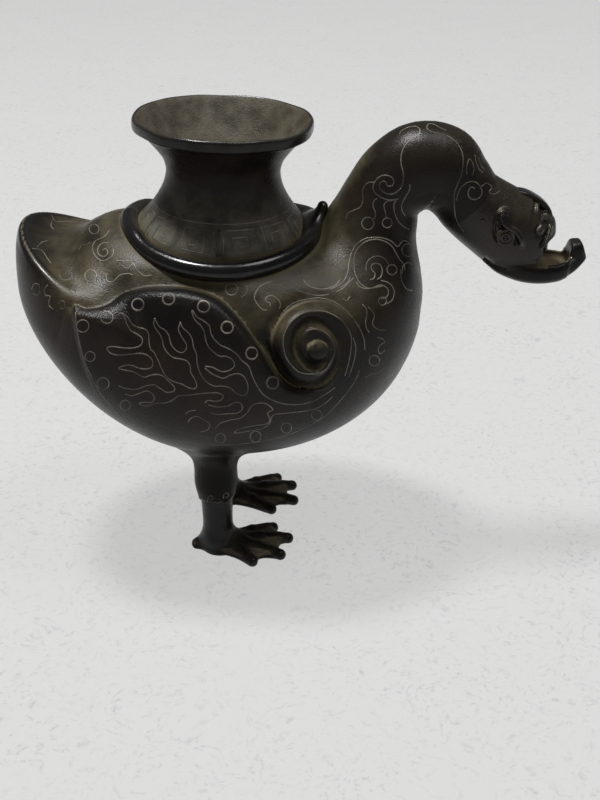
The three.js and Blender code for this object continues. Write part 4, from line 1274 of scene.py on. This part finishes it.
def footField(p, side, tips, webbed=True):
    y = side * leg["y"]
    out = np.hypot(p[:, 0] - leg["x"], p[:, 1] - y)
    radius = np.interp(p[:, 2], shankLine[:, 0], shankLine[:, 1])
    total = np.maximum((out - radius) * 0.92, p[:, 2] - foot["shank"][-1][1])
    heel, instep = foot["heel"], foot["instep"]
    back = np.array([leg["x"] - heel["back"], y, heel["height"]])
    start = np.array([leg["x"] - heel["from"], y, heel["fromHeight"]])
    total = smoothMin(total, capsuleField(p, start, back, heel["fromRadius"], heel["radius"]), heel["blend"])
    start = np.array([leg["x"], y, instep["fromHeight"]])
    ahead = np.array([leg["x"] + instep["ahead"], y + side * instep["outward"], instep["height"]])
    arch = capsuleField(p, start, ahead, instep["fromRadius"], instep["radius"])
    total = smoothMin(total, arch, instep["blend"])
    root = np.array([leg["x"] + foot["toeRootAhead"], y, foot["toeRootHeight"]])
    toes, ends = np.full(len(p), 99.0), []
    for ahead, outward in tips:
        length = math.hypot(ahead, outward)
        share = 1 - foot["toeTip"] / length
        end = np.array([leg["x"] + ahead * share, y + side * outward * share, foot["toeTipHeight"]])
        knuckle = root + (end - root) * foot["knuckleAt"] + (0, 0, foot["knuckleRise"])
        toe = capsuleField(p, root, knuckle, foot["toeRoot"], foot["toeMid"])
        toe = smoothMin(toe, capsuleField(p, knuckle, end, foot["toeMid"], foot["toeTip"]), foot["knuckleBlend"])
        toes = smoothMin(toes, toe, foot["toesBlend"])
        ends.append(end)
    total = smoothMin(total, toes, foot["legBlend"])
    if not webbed:
        return total
    corners = [back] + [root + (end - root) * foot["webReach"] for end in ends] + [back]
    for a, b in zip(corners[:-1], corners[1:]):
        total = smoothMin(total, webField(p, root - (0, 0, foot["webUnder"]), a, b), foot["webBlend"])
    return smoothMax(total, -p[:, 2], foot["soleRounding"])


def makeFeet():
    for name, side in (("right", -1), ("left", 1)):
        tips = foot["tips"][name]

        def field(p, side=side, tips=tips):
            return footField(p, side, tips)

        # The web mask lays the lightened tan film, partly web colour and partly painted light
        def webMarks(p, side=side, tips=tips):
            web = smoothStep(*foot["webShade"], footField(p, side, tips, False))
            return {"dustAndPaintedLight": web, "ridge": foot["toePolish"] * (1 - web)}

        ankle = np.array([leg["x"], side * leg["y"], 0])
        verts, faces = netOf(field, ankle + foot["boxLow"], ankle + foot["boxHigh"], foot["cell"])
        verts[:, 2] = np.maximum(verts[:, 2], 0)
        makeCastPiece(name + "_webbed_foot", verts, faces, field, bronzeFeet, [name + "_foot"], field, webMarks)
    print("feet made", len(faces))


makeFeet()


# Eyes, crest and wires

def castOnto(field, pixels, start=230.0, reach=260.0, rounds=90):
    pixels = np.asarray(pixels, float)
    ray = pixelRay(pixels)
    origin = np.asarray(shot["place"])
    run = np.full(len(pixels), start)
    for _ in range(rounds):
        run = run + 0.8 * np.clip(field(origin + ray * run[:, None]), -2, 6)
        run = np.minimum(run, start + reach)
    p = origin + ray * run[:, None]
    return p, np.abs(field(p)) < 0.05


# A thin strip let into the surface along a line of points
def stripAlong(field, points, width, closed):
    normals = normalsOf(field, points)
    proud, sunk = wire["proud"], wire["sunk"]
    run = np.gradient(points, axis=0)
    if closed:
        run = np.roll(points, -1, 0) - np.roll(points, 1, 0)
    run = run / np.maximum(np.linalg.norm(run, axis=1, keepdims=True), 1e-9)
    side = np.cross(run, normals)
    side = side / np.maximum(np.linalg.norm(side, axis=1, keepdims=True), 1e-9)
    shape = [(-0.5, -sunk), (0.5, -sunk), (0.5, proud * 0.3), (0.22, proud), (-0.22, proud), (-0.5, proud * 0.3)]
    rings = np.stack([points + side * (a * width) + normals * b for a, b in shape], 1)
    verts, faces = skinRings(rings, closed)
    if not closed:
        count = len(shape)
        last = len(verts) - count
        caps = [[0, 3, 2, 1], [0, 5, 4, 3], [last, last + 1, last + 2, last + 3],
                [last, last + 3, last + 4, last + 5]]
        faces = np.concatenate([faces, np.asarray(caps)])
    return verts, faces


def joinMeshes(parts):
    verts, faces, count = [], [], 0
    for v, f in parts:
        verts.append(v)
        faces.append(f + count)
        count += len(v)
    return np.concatenate(verts), np.concatenate(faces)


def circlePixels(place, radius, count):
    turn = np.linspace(0, 2 * np.pi, count, endpoint=False)
    return np.stack([place[0] + radius * np.cos(turn), place[1] + radius * np.sin(turn)], 1)


# Wires on the casting, broken where a line of pixels leaves it
def wireParts(pixels, closed=False, width=wire["width"]):
    p, hit = castOnto(castingField, pixels)
    if closed and hit.all():
        return [stripAlong(castingField, p, width, True)]
    step = np.linalg.norm(np.diff(p, axis=0), axis=1)
    breaks = np.flatnonzero((step > wire["longestStep"]) | ~hit[1:] | ~hit[:-1]) + 1
    runs = np.split(np.arange(len(p)), breaks)
    return [stripAlong(castingField, p[run], width, False) for run in runs if len(run) > 2]


wingRings = {
    "places": [(137.7, 304.6), (168.5, 298.9), (203.6, 306.6), (227.2, 327.5), (251.9, 353.4), (272.6, 382.8)],
    "radius": 5.9, "width": 0.5, "around": 28,
}


def makeWingRings():
    for index, place in enumerate(wingRings["places"]):
        ring = circlePixels(place, wingRings["radius"], wingRings["around"])
        verts, faces = joinMeshes(wireParts(ring, True, wingRings["width"]))
        for side, v, f in bothSides(verts, faces):
            makePiece(f"{side}_ring_inlay_{index + 1}", v, f, silver, [f"{side}_wing_ring_{index + 1}"])
    print("wing rings made")


makeWingRings()


# Lines read from enlarged views: the corner and enlargement of each view, then lines and rings in its own pixels
wingWires = {
    "corner": (60, 275), "zoom": 4.054,
    "lines": [
        [(250, 155), (262, 172), (272, 200), (287, 225), (312, 240), (332, 256), (333, 276), (318, 290),
         (288, 297), (250, 295), (212, 290), (190, 297), (203, 315), (232, 325), (282, 322), (330, 318),
         (360, 330), (376, 350), (371, 374), (348, 381), (320, 378), (292, 367), (266, 366), (236, 376)],
        [(236, 380), (265, 386), (300, 394), (340, 414), (372, 405), (410, 406), (440, 430), (464, 456),
         (460, 471), (432, 475), (405, 459), (380, 445), (345, 450), (310, 463), (270, 460), (237, 449)],
        [(250, 152), (275, 172), (292, 199), (320, 213), (346, 221), (359, 241), (361, 272), (367, 302),
         (380, 312), (395, 340), (410, 375), (430, 410), (456, 430), (490, 441), (520, 456), (545, 461),
         (554, 446), (545, 420), (530, 395), (528, 370), (515, 350), (490, 341), (460, 335), (436, 316),
         (420, 290), (415, 265), (405, 241), (390, 221), (380, 200), (383, 176)],
        [(383, 174), (401, 208), (426, 225), (441, 246), (447, 270), (456, 291), (476, 310), (496, 315),
         (511, 301), (512, 281), (500, 261), (488, 241), (480, 220), (487, 194)],
        [(487, 190), (498, 215), (521, 235), (536, 261), (541, 290), (553, 320), (555, 346), (560, 376),
         (575, 410), (596, 435), (626, 450), (660, 450), (690, 458), (716, 480), (745, 488), (761, 471),
         (760, 440), (745, 411), (720, 400), (690, 406), (665, 418), (640, 412), (615, 400), (588, 378)],
        [(588, 370), (620, 375), (650, 390), (681, 389), (706, 370), (700, 345), (675, 331), (646, 329),
         (620, 310), (601, 290), (590, 260), (585, 231), (570, 205), (550, 186), (537, 160), (537, 144),
         (555, 170), (581, 186), (605, 206), (612, 236), (626, 261), (651, 285), (685, 300), (716, 321),
         (736, 346), (765, 371), (780, 410), (800, 451), (826, 486), (870, 511), (920, 524), (975, 524),
         (1030, 510), (1080, 481), (1115, 456)],
        [(262, 482), (291, 489), (325, 478), (350, 470), (373, 480), (383, 500), (370, 517), (345, 515),
         (320, 521), (350, 531), (390, 520), (430, 518), (460, 505), (481, 490), (520, 487), (560, 482),
         (600, 478), (640, 478), (661, 489), (655, 505), (630, 512), (601, 508), (586, 520)],
        [(600, 526), (640, 535), (681, 530), (710, 516), (734, 521), (738, 545), (715, 560), (680, 562),
         (641, 565), (610, 560)],
        [(510, 562), (526, 551), (550, 548)],
        [(570, 636), (600, 626), (606, 601), (581, 586), (556, 573), (531, 580), (520, 595)],
        [(630, 623), (650, 601), (690, 588), (730, 580), (760, 556), (776, 531), (800, 520), (830, 520),
         (851, 532), (863, 546), (842, 560), (851, 590), (831, 605), (790, 610), (750, 618), (716, 630),
         (710, 641), (736, 638), (780, 630), (820, 622), (850, 601), (856, 580), (871, 565), (920, 560),
         (980, 553), (1040, 540), (1080, 516), (1106, 492)],
        [(62, 150), (66, 200), (76, 260), (88, 310), (104, 360), (124, 404), (156, 468), (186, 510), (230, 556),
         (290, 600), (370, 640), (450, 664), (540, 682), (640, 690), (740, 684), (830, 672), (900, 655),
         (960, 634), (1020, 605), (1075, 572), (1125, 522), (1165, 475), (1196, 430), (1215, 385)],
        [(730, 95), (757, 72), (755, 40), (735, 22)],
    ],
    "rings": [(92, 207, 25), (190, 172, 25), (122, 330, 20), (175, 440, 24), (265, 528, 21), (650, 662, 20),
              (793, 655, 22), (918, 620, 21), (1040, 568, 21), (695, 57, 25)],
}
spiralWires = {
    "corner": (0, 0), "zoom": 1.0,
    "lines": [
        spiralWire,
        [(353, 338), (355.5, 345), (355.5, 353), (354, 361), (351, 371), (348.5, 377)],
        spiralRim[:11],
    ],
    "rings": [],
}
shoulderWires = {
    "corner": (255, 280), "zoom": 8.0,
    "lines": [
        [(100, 240), (60, 236), (12, 182), (-4, 130), (40, 52), (120, 16), (200, 20), (280, 55), (360, 90),
         (440, 115), (520, 125), (600, 112)],
        [(120, 212), (120, 182), (95, 176), (84, 150), (110, 128), (150, 130), (190, 165), (205, 200), (194, 232)],
        [(385, -5), (430, 45), (500, 70), (570, 70), (640, 45), (685, -5)],
        [(680, 65), (740, 22), (765, -25)],
        [(810, 15), (840, 55), (900, 70), (960, 60), (1040, 45)],
        [(860, 195), (890, 230), (895, 280), (885, 330), (890, 380), (915, 420)],
        [(905, 215), (940, 250), (955, 290), (940, 345), (960, 380), (1000, 400), (1045, 400)],
        [(980, 460), (1020, 470), (1035, 500), (1000, 522), (985, 560), (1005, 590), (1040, 560)],
        [(760, 130), (735, 165), (700, 150)],
        [(880, 780), (930, 755), (985, 740), (1030, 700)],
    ],
    "rings": [(1020, 170, 32), (955, 645, 42)],
}
neckWires = {
    "corner": (330, 115), "zoom": 5.556,
    "lines": [
        [(382, 108), (400, 85), (440, 66), (480, 63), (499, 82), (494, 106), (461, 126), (431, 151), (410, 181),
         (396, 221), (395, 270), (405, 311), (408, 350), (400, 391), (379, 421), (345, 440), (310, 435),
         (281, 415), (275, 386), (294, 368), (311, 376), (318, 394), (340, 395), (355, 375), (345, 350),
         (320, 337), (290, 337), (261, 355), (240, 390), (245, 426), (270, 451), (310, 469), (350, 472),
         (380, 465)],
        [(250, 375), (215, 375), (190, 396), (180, 430), (182, 480), (165, 514), (131, 530), (100, 546), (85, 580)],
        [(260, 465), (243, 480), (240, 510), (250, 536), (252, 565), (240, 580)],
        [(345, 475), (316, 480), (300, 501), (305, 530), (311, 560), (318, 574)],
        [(366, 470), (355, 501), (360, 545), (380, 590), (410, 620), (440, 635)],
        [(445, 385), (440, 420), (416, 460), (400, 496), (401, 530), (416, 560)],
        [(650, 86), (611, 70), (576, 50), (546, 51), (540, 74), (570, 94), (620, 105), (670, 126), (710, 161),
         (735, 210), (740, 270), (730, 330), (706, 390), (690, 441), (690, 500), (696, 560), (716, 610),
         (745, 650)],
        [(762, 332), (760, 290), (774, 244), (791, 263), (800, 300), (790, 336)],
        [(806, 222), (812, 262), (828, 300), (850, 320)],
        [(826, 238), (838, 276), (858, 305)],
        [(700, 476), (715, 426), (741, 390), (780, 370), (815, 376), (836, 401), (845, 431), (830, 460),
         (800, 470), (772, 455), (768, 425), (785, 401), (806, 408)],
        [(840, 400), (870, 380), (900, 400), (885, 430), (915, 440), (945, 420)],
        [(285, 1022), (316, 1010), (325, 981), (310, 955), (276, 945), (241, 960), (205, 960), (165, 931),
         (140, 880), (134, 831), (136, 780), (160, 736), (205, 701), (260, 691), (310, 705), (345, 731),
         (366, 765), (386, 800), (410, 830), (416, 862)],
        [(120, 762), (145, 721), (190, 690), (241, 680), (300, 685), (346, 705), (376, 731), (400, 702),
         (426, 700), (446, 720)],
        [(225, 916), (245, 906), (250, 880), (232, 860), (231, 836), (250, 825), (276, 831), (290, 860),
         (285, 895), (262, 915)],
        [(200, 870), (205, 821), (235, 791), (276, 785), (305, 801), (325, 830)],
        [(285, 920), (320, 930), (346, 951), (357, 986), (345, 1030), (310, 1050)],
        [(395, 860), (395, 901), (406, 940), (431, 970), (458, 975)],
        [(440, 716), (416, 720), (400, 746), (410, 775), (440, 785), (462, 770)],
        [(402, 880), (406, 841), (430, 820), (458, 830)],
        [(0, 970), (41, 950), (81, 916), (100, 870), (105, 820), (120, 762)],
        [(30, 986), (76, 960), (110, 926), (132, 905)],
    ],
    "rings": [(210, 603, 34), (318, 600, 27), (345, 860, 28)],
}
tailWires = {
    "corner": (10, 175), "zoom": 7.0,
    "lines": [
        [(700, 380), (660, 430), (600, 460), (575, 510), (600, 570), (650, 600), (710, 570), (725, 520), (700, 480),
         (650, 475), (615, 510), (620, 555), (660, 570), (685, 540), (665, 515), (645, 530)],
        [(735, 600), (790, 598), (865, 602)],
        [(740, 652), (775, 630), (800, 646), (830, 650), (862, 618), (885, 660), (940, 705), (990, 700)],
        [(670, 690), (680, 740), (720, 746), (770, 701), (830, 690), (862, 702)],
        [(350, 655), (345, 690), (360, 726), (395, 735), (430, 715), (430, 681), (402, 670), (386, 696)],
        [(480, 530), (500, 490), (530, 490), (562, 468)],
        [(190, 505), (225, 470), (265, 460)],
        [(160, 515), (220, 525), (260, 580), (290, 620)],
        [(150, 800), (170, 762), (201, 770), (210, 810), (190, 842), (160, 830)],
        [(262, 770), (240, 801), (250, 842), (281, 850), (270, 905), (300, 940)],
        [(340, 900), (360, 880), (385, 900), (375, 935), (350, 930)],
    ],
    "rings": [(588, 378, 34), (565, 705, 42)],
}


legWires = {
    "corner": (170, 440), "zoom": 6.0,
    "lines": [
        [(226, 366), (230, 344), (246, 334), (258, 344), (252, 360), (240, 356)],
        [(322, 352), (322, 330), (338, 318), (352, 328), (346, 344), (335, 340)],
        [(262, 372), (290, 378), (318, 368)],
    ],
    "rings": [],
}


def viewPixels(view, points):
    return np.asarray(points, float) / view["zoom"] + view["corner"]


def makeWires(name, view):
    parts = []
    for line in view["lines"]:
        parts += wireParts(smoothLine(viewPixels(view, line), 5))
    for x, y, radius in view["rings"]:
        ring = circlePixels(viewPixels(view, [(x, y)])[0], radius / view["zoom"], 22)
        parts += wireParts(ring, True)
    verts, faces = joinMeshes(parts)
    for side, v, f in bothSides(verts, faces):
        makePiece(f"{side}_{name}", v, f, silver)
    print(name, "laid", len(faces))


for wireName, wireView in (("wing_wires", wingWires), ("spiral_wires", spiralWires),
                           ("shoulder_wires", shoulderWires), ("neck_wires", neckWires),
                           ("tail_wires", tailWires), ("leg_wires", legWires)):
    makeWires(wireName, wireView)


# Key fret round the foot of the trumpet, in shares of one unit's width and height
fret = {
    "low": 112.9, "high": 119.9, "units": 12, "lineAbove": 121.2, "width": 0.34,
    "key": [(0.12, 0.04), (0.12, 0.96), (0.88, 0.96), (0.88, 0.1), (0.33, 0.1), (0.33, 0.7), (0.68, 0.7),
            (0.68, 0.36), (0.5, 0.36)],
    "around": 120,
    "bars": [(-0.025, 0.0, 1.0), (0.025, 0.0, 1.0)],
}


def onFlare(turn, height):
    radius = np.interp(height, flareLine[:, 1], flareLine[:, 0])
    p = leaningTrumpet(np.stack([radius * np.cos(turn), radius * np.sin(turn), height], 1))
    p[:, 2] += footRaise(p, height)
    return p


def cornerLine(points, perSpan):
    p = np.asarray(points, float)
    spans = [a + (b - a) * np.linspace(0, 1, perSpan, endpoint=False)[:, None] for a, b in zip(p[:-1], p[1:])]
    return np.vstack(spans + [p[-1:]])


def makeFret():
    parts = []
    step = 2 * np.pi / fret["units"]
    for unit in range(fret["units"]):
        lines = [cornerLine(fret["key"], 5)] + [cornerLine([(x, a), (x, b)], 8) for x, a, b in fret["bars"]]
        for line in lines:
            across = line[:, 0] if unit % 2 else 1 - line[:, 0]
            points = onFlare((unit + across) * step, fret["low"] + line[:, 1] * (fret["high"] - fret["low"]))
            parts.append(stripAlong(trumpetField, points, fret["width"], False))
    turn = np.linspace(0, 2 * np.pi, fret["around"], endpoint=False)
    points = onFlare(turn, np.full(fret["around"], fret["lineAbove"]))
    parts.append(stripAlong(trumpetField, points, fret["width"], True))
    verts, faces = joinMeshes(parts)
    makePiece("flare_fret", verts, faces, silver)
    print("fret laid", len(faces))


makeFret()


# Eyes: radius and height of the turned bead, with a ring and a pupil pit
eye = {
    "place": (505.6, 237.0),
    "profile": [(0.0, -0.1), (0.5, 0.0), (0.85, 0.5), (1.2, 0.75), (1.6, 0.55), (1.85, 0.2), (2.1, 0.25),
                (2.4, 0.6), (2.75, 0.55), (3.0, 0.1), (3.0, -1.0), (0.0, -1.0)],
    "around": 40, "squash": 0.9, "dusty": (0.3, 0.7, 0.1), "polished": (0.4, 0.5, 0.0), "pupilDust": 0.9,
}


def makeEyes():
    p, _ = castOnto(castingField, [eye["place"]])
    n = normalsOf(castingField, p)[0]
    up = np.array([0, 0, 1.0]) - n * n[2]
    up = up / np.linalg.norm(up)
    along = np.cross(up, n)
    turn = np.linspace(0, 2 * np.pi, eye["around"], endpoint=False)
    around = np.outer(np.cos(turn), along) + np.outer(np.sin(turn) * eye["squash"], up)
    rings = [p[0] + around * radius + n * rise for radius, rise in eye["profile"][1:-1]]
    verts, faces = skinRings(np.stack(rings))
    count = len(turn)
    ends = np.stack([p[0] + n * eye["profile"][0][1], p[0] + n * eye["profile"][-1][1]])
    middle, last = len(verts), len(verts) - count
    ring = np.arange(count)
    ahead = (ring + 1) % count
    caps = [np.stack([ahead, ring, np.full(count, middle), np.full(count, middle)], 1),
            np.stack([last + ring, last + ahead, np.full(count, middle + 1), np.full(count, middle + 1)], 1)]
    verts = np.concatenate([verts, ends])
    faces = np.concatenate([faces] + caps)
    rises = np.array([rise for _, rise in eye["profile"][1:-1]])
    below, sunk, shown = eye["dusty"]
    above, bright, plain = eye["polished"]
    recess = np.concatenate([np.repeat(np.where(rises < below, sunk, shown), count), [eye["pupilDust"], 0.0]])
    ridge = np.concatenate([np.repeat(np.where(rises > above, bright, plain), count), [0.0, 0.0]])
    marks = {"recess": recess, "ridge": ridge, **patchMarks(verts)}
    for side, v, f in bothSides(verts, faces):
        makePiece(side + "_eye_bead", v, f, bronzeHead, [side + "_eye"], None, marks)
    print("eyes made")


# Crest band along the crown: x, height, half thickness and half width
crest = {
    "stations": [(64.4, 124.5, 0.5, 1.4), (67.0, 124.1, 0.9, 2.4), (69.6, 123.4, 1.0, 2.8), (72.4, 122.0, 1.0, 2.8),
                 (74.6, 120.5, 1.0, 2.6), (76.5, 118.4, 1.0, 2.3), (77.5, 116.0, 0.9, 1.9), (77.4, 113.6, 0.6, 1.4)],
    "steps": 8, "squareness": 3.6, "cell": 0.3, "box": ((61, -4, 111), (80, 4, 127)),
}
crestTube = makeTube(crest["stations"], crest["steps"], crest["squareness"])


def crestField(p):
    return tubeField(p, crestTube)


def makeCrest():
    verts, faces = netOf(crestField, *crest["box"], crest["cell"])
    makeCastPiece("crown_crest", verts, faces, crestField, bronzeCrest, ["head_crest"], crestField)
    print("crest made", len(faces))


makeEyes()
makeCrest()


# Floor and light
stage = {
    "size": 6.0, "pale": (0.74, 0.74, 0.735, 1), "grey": (0.48, 0.485, 0.49, 1),
    "lamp": {"place": (-0.30, 0.10, 1.30), "aim": (0.0, 0.0, 0.06), "size": 0.22, "power": 21.0},
    "fill": {"place": (0.5, -0.1, 1.6), "aim": (0.0, 0.0, 0.08), "size": 0.6, "power": 9.0},
    "sky": (0.12, 0.12, 0.123, 1), "skyStrength": 1.0, "lifted": 0.84, "glow": 0.88,
}


def makeFloor():
    half = stage["size"] / 2
    corners = np.array([(-half, -half, 0), (half, -half, 0), (half, half, 0), (-half, half, 0)])
    mesh = bpy.data.meshes.new("floor")
    mesh.from_pydata(corners.tolist(), [], [[0, 1, 2, 3]])
    floor = bpy.data.objects.new("floor", mesh)
    bpy.context.scene.collection.objects.link(floor)
    material = bpy.data.materials.new("paleFelt")
    material.use_nodes = True
    tree = material.node_tree
    shader = tree.nodes["Principled BSDF"]
    place = tree.nodes.new("ShaderNodeTexCoord").outputs["Object"]
    warp = nodeIn(tree, "ShaderNodeTexNoise", {"Vector": place, "Scale": 60.0, "Detail": 3.0})
    bent = nodeIn(tree, "ShaderNodeVectorMath", {0: warp.outputs["Color"], 1: (0.02, 0.02, 0.02)},
                  operation="MULTIPLY")
    bent = nodeIn(tree, "ShaderNodeVectorMath", {0: bent.outputs[0], 1: place}, operation="ADD").outputs[0]
    fibres = noiseIn(tree, bent, 420.0, 5.0, 0.7)
    clouds = noiseIn(tree, place, 30.0, 4.0)
    share = mathIn(tree, "MULTIPLY", rangeIn(tree, fibres, 0.5, 0.75), rangeIn(tree, clouds, 0.3, 0.7, 0.25, 0.85))
    felt = mixIn(tree, share, stage["pale"], stage["grey"])
    tree.links.new(felt, shader.inputs["Base Color"])
    shader.inputs["Roughness"].default_value = 0.95
    shader.inputs["Specular IOR Level"].default_value = 0.1
    pile = nodeIn(tree, "ShaderNodeBump", {"Height": fibres, "Strength": 0.25, "Distance": 0.0008})
    tree.links.new(pile.outputs[0], shader.inputs["Normal"])
    # The camera and mirror rays see this paler floor, so the shadow under the bird stays faint
    glow = nodeIn(tree, "ShaderNodeEmission", {"Color": felt, "Strength": stage["glow"]})
    path = tree.nodes.new("ShaderNodeLightPath")
    seen = mathIn(tree, "MAXIMUM", path.outputs["Is Camera Ray"], path.outputs["Is Glossy Ray"])
    seen = mathIn(tree, "MAXIMUM", seen, path.outputs["Is Transmission Ray"])
    seen = mathIn(tree, "MULTIPLY", seen, stage["lifted"])
    shown = nodeIn(tree, "ShaderNodeMixShader", {0: seen, 1: shader.outputs[0], 2: glow.outputs[0]})
    tree.links.new(shown.outputs[0], tree.nodes["Material Output"].inputs["Surface"])
    mesh.materials.append(material)


def makeLamp(name, values):
    data = bpy.data.lights.new(name, "AREA")
    data.shape = "SQUARE"
    data.size = values["size"]
    data.energy = values["power"]
    lamp = bpy.data.objects.new(name, data)
    lamp.location = values["place"]
    aim = [a - b for a, b in zip(values["aim"], values["place"])]
    flat = math.hypot(aim[0], aim[1])
    lamp.rotation_euler = (math.atan2(flat, -aim[2]), 0, math.atan2(aim[1], aim[0]) - math.pi / 2)
    bpy.context.scene.collection.objects.link(lamp)


def makeLight():
    makeLamp("ceiling", stage["lamp"])
    makeLamp("fill", stage["fill"])
    world = bpy.data.worlds.new("room")
    world.use_nodes = True
    back = world.node_tree.nodes["Background"]
    back.inputs["Color"].default_value = stage["sky"]
    back.inputs["Strength"].default_value = stage["skyStrength"]
    bpy.context.scene.world = world
    bpy.context.scene.view_settings.view_transform = "Standard"


makeFloor()
makeLight()
